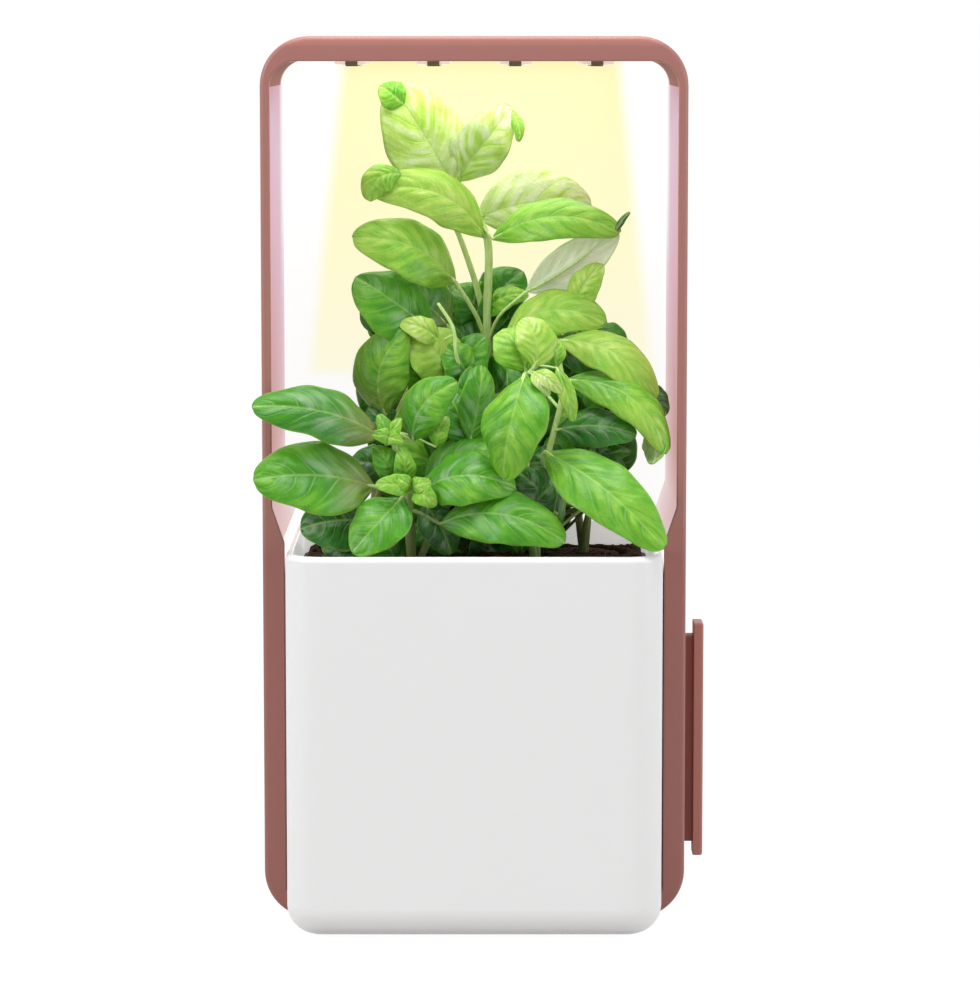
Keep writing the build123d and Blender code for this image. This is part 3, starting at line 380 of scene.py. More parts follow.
# the cheek covers are rose, and their bent top edge is left opal and glows as the light walls do, a
# painted light
rose_to, opal_from = 0.900, 0.940  # shares of the height of the light walls' foot
cheek, tree, shader, place = blank("rose ABS, opal top edge", "8d5a52", 0.5, ior=1.53)
plug(shader, {"Specular IOR Level": 0.1})
top_edge = add(tree, "MapRange", {"Value": place_share(tree, place, 2, 0.0, wall_low.z),
               "From Min": rose_to, "From Max": opal_from}, interpolation_type="SMOOTHSTEP")
tone = add(tree, "Mix", {"Factor": top_edge, MIX_A: linear("8d5a52"),
           MIX_B: linear("f8ecec")}, data_type="RGBA")
plug(shader, {"Base Color": tone.outputs[MIX_COLOUR], "Emission Color": tone.outputs[MIX_COLOUR]})
painted_edge_light = add(tree, "Math", {0: top_edge, 1: 0.6}, operation="MULTIPLY")
plug(shader, {"Emission Strength": painted_edge_light})
coat(cheek, "cheek_cover_left", "cheek_cover_right")

# %% Back panel
panel_low, panel_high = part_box("back_panel")
lamp_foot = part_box("lamp_tray")[1].z
cone_foot = 0.252  # height at which the warm light has faded
cone_half_top, cone_half_foot = 0.073, 0.091
cone_soft = 0.010
cone_centre = 0.003  # the cone stands a little right of the middle
cone_foot_soft = (0.003, 0.004)  # how far its foot fades below and above

back_panel, tree, shader, place = blank("opal acrylic panel", "ffffff", 0.45, ior=1.49)
split = add(tree, "SeparateXYZ", {0: place})
half = add(tree, "MapRange", {"Value": split.outputs[2], "From Min": cone_foot,
           "From Max": lamp_foot, "To Min": cone_half_foot, "To Max": cone_half_top})
off_axis = add(tree, "Math", {0: split, 1: cone_centre}, operation="SUBTRACT")
off_centre = add(tree, "Math", {0: off_axis}, operation="ABSOLUTE")
inward = add(tree, "Math", {0: half, 1: off_centre}, operation="SUBTRACT")
across = add(tree, "MapRange", {"Value": inward, "From Min": 0.0,
             "From Max": cone_soft}, interpolation_type="SMOOTHSTEP")
rise = add(tree, "MapRange", {"Value": split.outputs[2], "From Min": cone_foot - cone_foot_soft[0],
           "From Max": cone_foot + cone_foot_soft[1]}, interpolation_type="SMOOTHSTEP")
cone = add(tree, "Math", {0: across, 1: rise}, operation="MULTIPLY")
warmth = add(tree, "MapRange", {"Value": split.outputs[2], "From Min": cone_foot,
             "From Max": lamp_foot})
warm = add(tree, "ValToRGB", {"Fac": warmth},
           [(0.0, "fffce4"), (0.35, "fffbd2"), (0.75, "fef7c2"), (1.0, "fef4b8")])
# only the side that faces the plants is lit; the other is plain white
facing_in = add(tree, "Math", {0: split.outputs[1], 1: (panel_low.y + panel_high.y) / 2},
                operation="LESS_THAN").outputs[0]
lit_cone = add(tree, "Math", {0: cone, 1: facing_in}, operation="MULTIPLY")
tint = add(tree, "Mix", {"Factor": lit_cone, MIX_A: linear("ffffff"),
           MIX_B: warm}, data_type="RGBA")
power = add(tree, "Math", {0: facing_in, 1: 0.90}, operation="MULTIPLY")
share = add(tree, "MapRange", {"Value": facing_in, "To Min": 0.95, "To Max": 0.10})
glow(tree, shader, tint.outputs[MIX_COLOUR], share.outputs[0], power.outputs[0])
coat(back_panel, "back_panel")

# %% [markdown]
# ## Lamp
# Each LED sits under a moulded acrylic lens, with a small dark cap in the middle that hides the bright
# chip from the eye. The lens is clear but its domed face scatters, so it is transmissive and rough.
# The phosphor on the chip is yellow until it is lit. The lamp's light on the plants is one wide area
# lamp under the tray, since twelve small ones would only add noise.

# %% Lenses, chips and the lamp's light
# the tray glows white, a painted light, and its two bent ends are rose and barely glow, so that the
# hoop's corners look solid
white_to, rose_from = 82 * MM, 89 * MM  # distances from the middle
end_fade = 35 * MM  # how far from the back the rose has its full depth
tray_material, tree, shader, place = blank("polypropylene, white with rose ends", "f2f1ef", 0.6,
                                           ior=1.49)
shade = add(tree, "TexNoise", {"Vector": place, "Scale": 1 / (20 * MM)})
tone = add(tree, "ValToRGB", {"Fac": shade}, [(0.2, "f6f5f3"), (0.8, "e9e7e4")])
split = add(tree, "SeparateXYZ", {0: place})
off_centre = add(tree, "Math", {0: split}, operation="ABSOLUTE")
bent = add(tree, "MapRange", {"Value": off_centre, "From Min": white_to,
           "From Max": rose_from}, interpolation_type="SMOOTHSTEP")
near = add(tree, "MapRange", {"Value": split.outputs[1], "From Min": wall_high.y,
           "From Max": wall_high.y - end_fade}, interpolation_type="SMOOTHSTEP")
end = add(tree, "Math", {0: bent, 1: near}, operation="MULTIPLY")
ended = add(tree, "Mix", {"Factor": end, MIX_A: tone,
            MIX_B: linear("8f5557")}, data_type="RGBA")
plug(shader, {"Base Color": ended.outputs[MIX_COLOUR], "Emission Color": ended.outputs[MIX_COLOUR]})
power = add(tree, "MapRange", {"Value": end, "To Min": 0.6, "To Max": 0.04})
plug(shader, {"Emission Strength": power, "Specular IOR Level": 0.1})
coat(tray_material, "lamp_tray")

lens_columns = (38.6 * MM, 19.3 * MM)  # the lenses stand at 38.6 -+ 19.3 mm from the middle
rib_half = 2.9 * MM
lens_material, tree, shader, place = blank("acrylic lens, frosted", "fbf8f0", 0.3, ior=1.49)
split = add(tree, "SeparateXYZ", {0: place})
distance = split.outputs[0]
for column in (0.0, *lens_columns):
    off = add(tree, "Math", {0: distance, 1: column}, operation="SUBTRACT")
    distance = add(tree, "Math", {0: off}, operation="ABSOLUTE").outputs[0]
rib = add(tree, "Math", {0: distance, 1: rib_half}, operation="LESS_THAN").outputs[0]
clear = add(tree, "Math", {0: 1.0, 1: rib}, operation="SUBTRACT").outputs[0]
tone = add(tree, "Mix", {"Factor": rib, MIX_A: linear("fbf8f0"), MIX_B: linear("5f4433")},
           data_type="RGBA")
plug(shader, {"Base Color": tone.outputs[MIX_COLOUR]})
passes = add(tree, "Math", {0: clear, 1: 0.55}, operation="MULTIPLY")
plug(shader, {"Transmission Weight": passes})
lit = add(tree, "Math", {0: clear, 1: 0.35}, operation="MULTIPLY")
plug(shader, {"Emission Strength": lit, "Emission Color": linear("fff1d6")})
rings = add(tree, "TexNoise", {"Vector": place, "Scale": 1 / (1.5 * MM), "Detail": 2.0})
relief = add(tree, "Bump", {"Height": rings, "Distance": 0.02 * MM})
plug(shader, {"Normal": relief})
coat(lens_material, "lamp_lenses")

cap_material = moulded("glare cap, matt brown nylon", "5c3a33", 0.6, drift="2f1c18")
coat(cap_material, "glare_caps")

phosphor, tree, shader, place = blank("LED phosphor in silicone", "f2d25a", 0.35, ior=1.41)
grains = add(tree, "TexVoronoi", {"Vector": place, "Scale": 1 / (0.4 * MM)})
speckle = add(tree, "ValToRGB", {"Fac": grains.outputs["Distance"]},
              [(0.0, "f8e38a"), (1.0, "e8b93a")])
plug(shader, {"Base Color": speckle, "Emission Color": linear("ffe9b0"), "Emission Strength": 1.5})
coat(phosphor, "led_emitters")

lenses_low, lenses_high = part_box("lamp_lenses")
lamp_data = bpy.data.lights.new("lamp_light", "AREA")
lamp_data.shape = "RECTANGLE"
lamp_data.size = lenses_high.x - lenses_low.x
lamp_data.size_y = lenses_high.y - lenses_low.y
lamp_data.energy = 0.13
lamp_data.color = linear("fffaf0")[:3]
lamp_light = bpy.data.objects.new("lamp_light", lamp_data)
lamp_light.location = (0, 0, lenses_low.z - 1 * MM)
bpy.context.scene.collection.objects.link(lamp_light)
print(f"lamp light {lamp_data.size / MM:.0f} x {lamp_data.size_y / MM:.0f} mm")

# %% [markdown]
# ## The pieces inside
# Nobody sees these while the garden is closed, but each still gets its true finish: the drawn tub
# shows the pump and the float, and a reader may want to open the model up.

# %% Boards, metals and wound copper
def circuit_board(name, code, trace_code):
    """Glass-epoxy board under solder mask, with tracks that run square to its edges."""
    material, tree, shader, place = blank(name, code, 0.32, ior=1.55)
    tracks = add(tree, "TexBrick", {"Vector": place, "Scale": 1.0, "Brick Width": 6 * MM,
                 "Row Height": 2.5 * MM, "Mortar Size": 0.3 * MM, "Color1": linear(code),
                 "Color2": linear(code), "Mortar": linear(trace_code)})
    plug(shader, {"Base Color": tracks.outputs["Color"]})
    relief = add(tree, "Bump", {"Height": tracks.outputs["Fac"], "Distance": 0.035 * MM})
    plug(shader, {"Normal": relief})
    return material


coat(circuit_board("solder mask, white", "e7e9e6", "cfd3cf"), "led_board")
coat(circuit_board("solder mask, green", "1d6b3c", "3c8a58"), "control_board", "rocker_board")


def brushed(name, code, roughness, line, across=0.02):
    """A metal brushed along X. line is the width of one scratch in mm."""
    material, tree, shader, place = blank(name, code, roughness, metallic=1.0)
    stretched = add(tree, "Mapping", {"Vector": place, "Scale": (across, 1, 1)})
    lines = add(tree, "TexNoise", {"Vector": stretched, "Scale": 1 / (line * MM),
                "Detail": 4.0})
    gloss = add(tree, "MapRange", {"Value": lines, "To Min": roughness - 0.08,
                "To Max": roughness + 0.12})
    plug(shader, {"Roughness": gloss})
    relief = add(tree, "Bump", {"Height": lines, "Distance": 0.004 * MM})
    plug(shader, {"Normal": relief})
    return material


coat(brushed("rolled aluminium plate", "d4d6da", 0.34, 0.3), "heat_spreader")
coat(brushed("stainless steel, turned", "b9babd", 0.28, 0.2, across=1), "lamp_screws",
     "cover_screws",
     "rocker_pin", "rocker_springs", "rocker_cradle", "pump_shaft", "flap_pin")
coat(brushed("nickel plate", "cfcabf", 0.16, 0.6, across=1), "rocker_magnets")

copper, tree, shader, place = blank("enamelled copper wire, wound", "c07a4e", 0.3, metallic=1.0)
turns = add(tree, "TexWave", {"Vector": place, "Scale": 1 / (2 * 0.5 * MM * math.pi)},
            bands_direction="Z")
shade = add(tree, "ValToRGB", {"Fac": turns.outputs["Fac"]}, [(0.0, "6d3a20"), (0.6, "c98455")])
plug(shader, {"Base Color": shade})
relief = add(tree, "Bump", {"Height": turns.outputs["Fac"], "Distance": 0.12 * MM})
plug(shader, {"Normal": relief})
coat(copper, "drive_coil")

# %% Dark plastics, rubber, leads and foam
coat(moulded("black nylon", "26262a", 0.5, drift="101012"), "power_inlet", "flex_plugs",
     "pump_base",
     "pump_housing", "impeller")
coat(moulded("epoxy moulding compound", "1f1f21", 0.7, grain=0.4, drift="3a3a3c"), "board_parts",
     "hall_sensors")
coat(moulded("ferrite magnet, sintered", "34343a", 0.6, grain=0.5, depth=0.02, drift="50505a"),
     "impeller_magnet")
coat(moulded("silicone rubber, grey", "57524f", 0.75, grain=0.9, depth=0.012, drift="3b3735",
             ior=1.41),
     "base_pad", "rear_bumpers", "tub_glides")
coat(moulded("dark polypropylene, matt", "302e2d", 0.62, drift="1b1a19", ior=1.49), "grow_deck")
coat(moulded("net-pot polypropylene", "262524", 0.5, drift="3a3836", ior=1.49),
     *[f"net_pot_{number}" for number in range(1, 6)])

tube_material, tree, shader, place = blank("silicone tube, translucent", "e6eae8", 0.35, ior=1.41)
plug(shader, {"Transmission Weight": 0.6})
haze = add(tree, "TexNoise", {"Vector": place, "Scale": 1 / (3 * MM)})
cloud = add(tree, "MapRange", {"Value": haze, "To Min": 0.28, "To Max": 0.42})
plug(shader, {"Roughness": cloud})
coat(tube_material, "riser_tube")

lead_material, tree, shader, place = blank("polyimide flat lead", "c58a2e", 0.35, ior=1.7)
stripes = add(tree, "TexWave", {"Vector": place, "Scale": 1 / (2 * 1.0 * MM * math.pi)},
              bands_direction="Y")
shade = add(tree, "ValToRGB", {"Fac": stripes.outputs["Fac"]}, [(0.3, "a3661c"), (0.7, "d39a45")])
plug(shader, {"Base Color": shade})
coat(lead_material, "flex_leads")

foam, tree, shader, place = blank("closed-cell foam, orange", "d8632a", 0.85, ior=1.45)
cells = add(tree, "TexVoronoi", {"Vector": place, "Scale": 1 / (0.9 * MM)})
shade = add(tree, "ValToRGB", {"Fac": cells.outputs["Distance"]},
            [(0.0, "e8763c"), (1.0, "bf4f1e")])
plug(shader, {"Base Color": shade})
relief = add(tree, "Bump", {"Height": cells.outputs["Distance"], "Distance": 0.15 * MM})
plug(shader, {"Normal": relief})
coat(foam, "float_body", "float_stem")

# %% [markdown]
# ## Coir and peat
# The deck is filled with coir, the brown pith and fibre of coconut husk, and each pot holds a pressed
# peat plug. A flat solid with a bump map would still have a ruler-straight edge, so the solids are
# copied, remeshed to small even cells and roughened with noise. Loose crumbs and
# bent fibres are then strewn on top, which is what the eye takes for soil.

# %% Peat and coir, roughened
def crumbly(name, dark, mid, light, crumb):
    """A fibrous earth. crumb is the size of one crumb in mm."""
    material, tree, shader, place = blank(name, mid, 0.95, ior=1.4)
    plug(shader, {"Specular IOR Level": 0.2})
    clumps = add(tree, "TexNoise", {"Vector": place, "Scale": 1 / (crumb * MM), "Detail": 6.0,
                 "Roughness": 0.65})
    colour = add(tree, "ValToRGB", {"Fac": clumps},
                 [(0.3, dark), (0.5, mid), (0.72, light)])
    plug(shader, {"Base Color": colour})
    relief = add(tree, "Bump", {"Height": clumps, "Distance": 0.8 * MM})
    plug(shader, {"Normal": relief})
    return material


coir_material = crumbly("coir, damp", "17100b", "35241a", "5b4130", 1.8)
peat_material = crumbly("pressed peat", "1c130d", "3a291c", "59412c", 1.3)
fibre_material = crumbly("coir fibre, dry", "5b3f28", "84623f", "a98a5f", 3.0)


def place_piece(name, mesh, body, slot, *replaced):
    """Adds a mesh as a piece that rides on a body, and hides the CAD nodes that it replaces. slot is
    not used.
    """
    piece = bpy.data.objects.new(name, mesh)
    bpy.context.scene.collection.objects.link(piece)
    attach(piece, body)
    if replaced:
        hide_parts(*replaced)
    print(f"{name}: {len(mesh.vertices)} points")
    return piece


def roughened(node, cell, height, material):
    """A copy of a CAD node's mesh in cells of the given size, with noise of that height, in mm."""
    source = bpy.data.objects.new("rough", nodes[node].data.copy())
    bpy.context.scene.collection.objects.link(source)
    remesh = source.modifiers.new("cells", "REMESH")
    remesh.mode = "VOXEL"
    remesh.voxel_size = cell * MM
    source.hide_render = True
    evaluated = source.evaluated_get(bpy.context.evaluated_depsgraph_get())
    mesh = bpy.data.meshes.new_from_object(evaluated)
    bpy.data.objects.remove(source)
    top = max(vertex.co.z for vertex in mesh.vertices)
    normals = [vertex.normal.copy() for vertex in mesh.vertices]
    for vertex, normal in zip(mesh.vertices, normals):
        lump = noise.noise(vertex.co / (7 * MM)) + 0.6 * noise.noise(vertex.co / (2.6 * MM))
        share = max(0.0, normal.z) if vertex.co.z > top - 1.5 * MM else 0.15
        vertex.co += normal * (lump * height * share * MM)
    mesh.materials.clear()
    mesh.materials.append(material)
    for polygon in mesh.polygons:
        polygon.use_smooth = True
    return mesh


place_piece("coir_bed", roughened("coco_bed", 1.3, 0.9, coir_material), "tub", "coco_fibre",
            "coco_bed")
place_piece("peat_plugs", roughened("grow_plugs", 1.1, 0.8, peat_material), "tub", "plug_peat",
            "grow_plugs")

# %% [markdown]
# ## Tubes
# Stems, leaf stalks, midribs and loose fibres are all tapered tubes along a smooth line. A curve
# object with a bevel could do this, but one mesh per plant keeps each plant a single piece, and the
# ring's shape can change: a basil stem is not round but a rounded square.

# %% Smooth lines and tubes
def smooth_line(points, steps):
    """A Catmull-Rom line: it passes through every point, with steps places in each span."""
    ends = [points[0] * 2 - points[1], *points, points[-1] * 2 - points[-2]]
    line = []
    for a, b, c, d in zip(ends, ends[1:], ends[2:], ends[3:]):
        for step in range(steps):
            t = step / steps
            line.append(0.5 * (2 * b + (c - a) * t + (2 * a - 5 * b + 4 * c - d) * t * t
                               + (3 * b - a - 3 * c + d) * t ** 3))
    return line + [points[-1].copy()]


def add_tube(builder, line, radii, sides=8, square=0.0):
    """Adds a closed tube along a line. square is how far its section goes from round to square."""
    ahead = (line[1] - line[0]).normalized()
    side = ahead.orthogonal().normalized()
    rings = []
    for number, (point, radius) in enumerate(zip(line, radii)):
        before, after = line[max(0, number - 1)], line[min(len(line) - 1, number + 1)]
        ahead = (after - before).normalized()
        side = (side - ahead * side.dot(ahead)).normalized()
        other = ahead.cross(side)
        ring = []
        for corner in range(sides):
            angle = 2 * math.pi * corner / sides
            reach = radius * (1 + square * math.cos(4 * angle))
            outward = side * math.cos(angle) + other * math.sin(angle)
            ring.append(builder.verts.new(point + outward * reach))
        rings.append(ring)
    for low, high in zip(rings, rings[1:]):
        for corner in range(sides):
            following = (corner + 1) % sides
            builder.faces.new((low[corner], low[following], high[following],
                               high[corner])).smooth = True
    builder.faces.new(reversed(rings[0]))
    builder.faces.new(rings[-1])


def finished_mesh(builder, name, *materials):
    """Turns a bmesh into a mesh with materials."""
    mesh = bpy.data.meshes.new(name)
    builder.to_mesh(mesh)
    builder.free()
    for material in materials:
        mesh.materials.append(material)
    return mesh


# %% Loose crumbs and fibres on the bed
bed_low, bed_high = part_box("coco_bed")
pot_boxes = [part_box(f"net_pot_{number}") for number in range(1, 6)]
pot_centres = [(low + high) / 2 for low, high in pot_boxes]
pot_radius = (pot_boxes[0][1].x - pot_boxes[0][0].x) / 2
port_low, port_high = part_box("fill_port")
guide_low, guide_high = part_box("guide_cap")
plug_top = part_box("grow_plugs")[1].z


def bed_spot(chance, margin):
    """A random place on the bed, clear of the pots, the float's cap and the filling port."""
    while True:
        spot = Vector((chance.uniform(bed_low.x + margin, bed_high.x - margin),
                       chance.uniform(bed_low.y + margin, bed_high.y - margin), bed_high.z))
        in_port = (port_low.x - margin < spot.x < port_high.x + margin
                   and port_low.y - margin < spot.y < port_high.y + 3 * margin)
        cap = (guide_low + guide_high) / 2
        near_cap = (spot - cap).to_2d().length < (guide_high.x - guide_low.x) / 2 + margin
        near_pot = any((spot - centre).to_2d().length < pot_radius + margin for centre in pot_centres)
        if not (in_port or near_cap or near_pot):
            return spot


def add_crumb(builder, centre, size, chance):
    """Adds an uneven lump of about the given size in mm."""
    made = bmesh.ops.create_icosphere(builder, subdivisions=2, radius=size / 2 * MM)
    seed = Vector((chance.random(), chance.random(), chance.random())) * 50
    for vertex in made["verts"]:
        vertex.co *= 1 + 0.45 * noise.noise(vertex.co / (0.6 * size * MM) + seed)
        vertex.co.z *= 0.7
        vertex.co += centre
    for face in {face for vertex in made["verts"] for face in vertex.link_faces}:
        face.smooth = True


def add_fibre(builder, centre, length, chance):
    """Adds a bent coir fibre that lies on the bed. Length in mm."""
    turn = chance.uniform(0, 2 * math.pi)
    points = []
    for step in range(4):
        turn += chance.uniform(-0.6, 0.6)
        centre = centre + Vector((math.cos(turn), math.sin(turn), 0)) * (length / 3 * MM)
        points.append(centre + Vector((0, 0, chance.uniform(0.2, 1.4) * MM)))
    line = smooth_line(points, 4)
    add_tube(builder, line, [0.22 * MM] * len(line), sides=5)


chance = random.Random(11)
crumbs = bmesh.new()
for _ in range(420):
    add_crumb(crumbs, bed_spot(chance, 3 * MM), chance.uniform(1.2, 3.4), chance)
for centre in pot_centres:
    for _ in range(26):
        angle, reach = chance.uniform(0, 2 * math.pi), chance.uniform(3, 15) * MM
        spot = Vector((centre.x + reach * math.cos(angle), centre.y + reach * math.sin(angle),
                       plug_top))
        add_crumb(crumbs, spot, chance.uniform(1.0, 2.6), chance)
place_piece("coir_crumbs", finished_mesh(crumbs, "coir_crumbs", coir_material), "tub", "coco_fibre")

fibres = bmesh.new()
for _ in range(190):
    add_fibre(fibres, bed_spot(chance, 12 * MM), chance.uniform(6, 13), chance)
place_piece("coir_fibres", finished_mesh(fibres, "coir_fibres", fibre_material), "tub",
            "coco_fibre")

# %% [markdown]
# ## Basil: the finish of a leaf
# A basil leaf is glossy above, because its skin is waxy, and paler and duller below. Light passes
# through it, so young leaves look almost yellow. Its side veins are sunk and the blade swells between
# them. Each point of a leaf mesh carries its age and painted shade, its distance from the midrib and
# its place between two side veins, so that one material draws the veins of every leaf at their real
# width. The same two numbers stretch a noise into streaks that run with the veins, and into a pale
# painted sheen, a painted highlight on the swellings of old leaves. The dips along the side veins are
# painted darker and the swellings lighter, as painted shade and light.

# %% Leaf materials
LAYER_NAMES = ("age", "rib", "phase", "blush", "across")


def leaf_finish(name, tones, vein, edge_code, roughness, vein_share, wax, painted_sheen):
    """The upper or under skin of a leaf. tones are (age and painted shade, hex code) from young and lit
    to old and shaded.
    """
    material, tree, shader, place = blank(name, tones[0][1], roughness, ior=1.45)
    age, rib, phase, blush, across = [add(tree, "Attribute", attribute_name=layer).outputs["Fac"]
                                      for layer in LAYER_NAMES]
    # 0 on a side vein, 0.5 halfway to the next; 1 at the midrib, 0 at the edge
    between = add(tree, "Math", {0: phase, 1: 0.5}, operation="PINGPONG").outputs[0]
    away = add(tree, "Math", {0: across}, operation="ABSOLUTE").outputs[0]
    inward = add(tree, "MapRange", {"Value": away, "From Min": 0.95, "From Max": 0.35}).outputs[0]
    edge = add(tree, "MapRange", {"Value": away, "From Min": 0.9, "To Max": 0.5},
               interpolation_type="SMOOTHSTEP").outputs[0]
    # streaks of tone that run the way the side veins run
    along_veins = add(tree, "CombineXYZ", {0: phase, 1: across})
    streaks = add(tree, "TexNoise", {"Vector": along_veins, "Scale": 2.2, "Detail": 3.0})
    streaky = add(tree, "MapRange", {"Value": streaks, "From Min": 0.3, "From Max": 0.7,
                  "To Min": -0.10, "To Max": 0.08})
    patches = add(tree, "TexNoise", {"Vector": place, "Scale": 1 / (8 * MM), "Detail": 3.0})
    wander = add(tree, "MapRange", {"Value": patches, "To Min": -0.10, "To Max": 0.10})
    # painted shade and light: the blade is painted darker in the dips along its side veins and lighter
    # on the swellings between them
    painted_vein_shade = add(tree, "MapRange", {"Value": between, "From Min": 0.05, "From Max": 0.40,
              "To Min": 0.05, "To Max": -0.03}, interpolation_type="SMOOTHSTEP")
    painted_vein_shade_inward = add(tree, "Math", {0: painted_vein_shade, 1: inward}, operation="MULTIPLY")
    moved = add(tree, "Math", {0: wander, 1: painted_vein_shade_inward}, operation="ADD")
    streaked = add(tree, "Math", {0: moved, 1: streaky}, operation="ADD")
    aged = add(tree, "Math", {0: age, 1: streaked}, operation="ADD")
    green = add(tree, "ValToRGB", {"Fac": aged}, tones)
    thin = add(tree, "MapRange", {"Value": between, "From Min": 0.08, "From Max": 0.0,
               "To Max": 0.8}, interpolation_type="SMOOTHSTEP")
    side_vein = add(tree, "Math", {0: thin, 1: inward}, operation="MULTIPLY")
    midrib = add(tree, "MapRange", {"Value": rib, "From Min": 0.9 * MM, "From Max": 0.2 * MM},
                 interpolation_type="SMOOTHSTEP")
    veins = add(tree, "Math", {0: side_vein, 1: midrib}, operation="MAXIMUM")
    drawn = add(tree, "Math", {0: veins, 1: vein_share}, operation="MULTIPLY")
    veined = add(tree, "Mix", {"Factor": drawn, MIX_A: green,
                 MIX_B: linear(vein)}, data_type="RGBA")
    # painted highlight: old leaves get a pale painted sheen on the swellings between their veins
    clouds = add(tree, "TexNoise", {"Vector": along_veins, "Scale": 1.2, "Detail": 1.0})
    pale = add(tree, "MapRange", {"Value": clouds, "From Min": 0.46, "From Max": 0.70,
               "To Max": painted_sheen}, interpolation_type="SMOOTHSTEP")
    old = add(tree, "MapRange", {"Value": age, "From Min": 0.45, "From Max": 0.65})
    inner = add(tree, "Math", {0: old, 1: inward}, operation="MULTIPLY")
    painted_sheen_share = add(tree, "Math", {0: pale, 1: inner}, operation="MULTIPLY")
    sheened = add(tree, "Mix", {"Factor": painted_sheen_share, MIX_A: veined.outputs[MIX_COLOUR],
                  MIX_B: linear("bcd4b4")}, data_type="RGBA")
    edged = add(tree, "Mix", {"Factor": edge, MIX_A: sheened.outputs[MIX_COLOUR],
                MIX_B: linear(edge_code)}, data_type="RGBA")
    patchy = add(tree, "MapRange", {"Value": streaks, "From Min": 0.35, "From Max": 0.65,
                 "To Min": 0.45, "To Max": 1.15})
    flush = add(tree, "Math", {0: blush, 1: patchy}, operation="MULTIPLY", use_clamp=True)
    flushed = add(tree, "Mix", {"Factor": flush, MIX_A: edged.outputs[MIX_COLOUR],
                  MIX_B: linear("9a8a5c")}, data_type="RGBA")
    plug(shader, {"Base Color": flushed.outputs[MIX_COLOUR]})
    waxy = add(tree, "MapRange", {"Value": patches, "To Min": roughness - 0.08,
               "To Max": roughness + 0.10})
    plug(shader, {"Roughness": waxy, "Specular IOR Level": 0.32, "Coat Weight": wax})
    plug(shader, {"Coat Roughness": 0.28})
    # relief: the veins are sunk, and fine cells lie between them
    groove = add(tree, "Bump", {"Height": veins, "Distance": 0.15 * MM}, invert=True)
    cells = add(tree, "TexVoronoi", {"Vector": place, "Scale": 1 / (1.5 * MM)})
    relief = add(tree, "Bump", {"Height": cells.outputs["Distance"], "Distance": 0.14 * MM,
                 "Normal": groove})
    plug(shader, {"Normal": relief, "Subsurface Weight": 0.18})
    plug(shader, {"Subsurface Radius": (0.9 * MM, 1.4 * MM, 0.4 * MM), "Subsurface Scale": 1.0})
    return material


leaf_upper = leaf_finish("basil leaf, waxy upper skin",
                         [(0.0, "d3e3b2"), (0.16, "b2d35c"), (0.36, "84bd38"), (0.56, "4c9a10"),
                          (0.76, "2f7c19"), (1.0,
                                             "1a4c18")], "b0d774", "93c64a", 0.42, 0.34, 0.18, 0.34)
leaf_under = leaf_finish("basil leaf, matt under skin",
                         [(0.0, "f0fadf"), (0.3, "c9e09e"), (0.6, "94bd60"), (1.0, "5c8a3a")],
                         "eff7de", "b6dc80", 0.55, 0.5, 0.0, 0.0)

stem_material, tree, shader, place = blank("basil stem, fine hairs", "a9cc6a", 0.5, ior=1.42)
stretched = add(tree, "Mapping", {"Vector": place, "Scale": (1, 1, 0.12)})
ribs = add(tree, "TexNoise", {"Vector": stretched, "Scale": 1 / (0.9 * MM), "Detail": 3.0})
shade = add(tree, "ValToRGB", {"Fac": ribs},
            [(0.25, "b2d872"), (0.55, "cbe992"), (0.8, "e4f3c0")])
green_from, woody_to = 225 * MM, 175 * MM  # a stem is darker and browner at its foot
woody = place_share(tree, place, 2, green_from, woody_to)
tone = add(tree, "Mix", {"Factor": woody, MIX_A: shade, MIX_B: linear("5f7238")},
           data_type="RGBA")
plug(shader, {"Base Color": tone.outputs[MIX_COLOUR]})
relief = add(tree, "Bump", {"Height": ribs, "Distance": 0.05 * MM})
plug(shader, {"Normal": relief})
print("leaf and stem finishes made")

# %% [markdown]
# ## Basil: the shape of a leaf
# A leaf could be a flat card with a cut-out picture. Real ones arch along the midrib, cup across it,
# swell between their side veins and curl at the tip, and that is what catches the light. So a leaf is
# a grid of points: along the midrib and across the blade. Each leaf is set by where its base and tip
# lie, how wide it is, how far its face is lifted, and how much it arches, sweeps, cups and folds.

# %% One leaf
# a leaf's age is its age, set higher and so darker for leaves deep in the bush's shade: painted shade
Leaf = namedtuple("Leaf", "stem at base tip width lift arch sweep cup fold curl pucker age blush stalk",
                  defaults=(25, 4.0, 0.0, 24, 6, 2.0, 0.95, 0.45, 0.0, True))
ALONG, ACROSS = 40, 20  # cells of a leaf's grid
SIDE_VEINS = 6
VEIN_LEAN = 0.30  # how far a side vein runs towards the tip on its way to the edge


def blade_share(t):
    """The blade's half width at t, from 0 at its base to 0 at its pointed tip, as a share."""
    return math.sin(math.pi * t ** 0.9) ** (0.44 + 0.4 * (1 - t)) if 0 < t < 1 else 0.0


def leaf_axes(leaf):
    """A leaf's base, tip, and the directions of its upper face and of its side."""
    base, tip = seen_at(*leaf.base), seen_at(*leaf.tip)
    chord = (tip - base).normalized()
    to_eye = eye - (base + tip) / 2
    face = (to_eye - chord * to_eye.dot(chord)).normalized()
    lifted = chord.cross(face)
    if lifted.z + 0.2 * lifted.x < 0:
        lifted.negate()
    angle = math.radians(leaf.lift)
    face = face * math.cos(angle) + lifted * math.sin(angle)
    return base, tip, face, chord.cross(face)


def rib_point(leaf, axes, t):
    """A point of the midrib, from the base at 0 to the tip at 1."""
    base, tip, face, side = axes
    bow = 4 * t * (1 - t)
    droop = leaf.curl * max(0.0, (t - 0.55) / 0.45) ** 2
    bent = face * ((leaf.arch * bow - droop) * MM) + side * (leaf.sweep * bow * MM)
    return base.lerp(tip, t) + bent


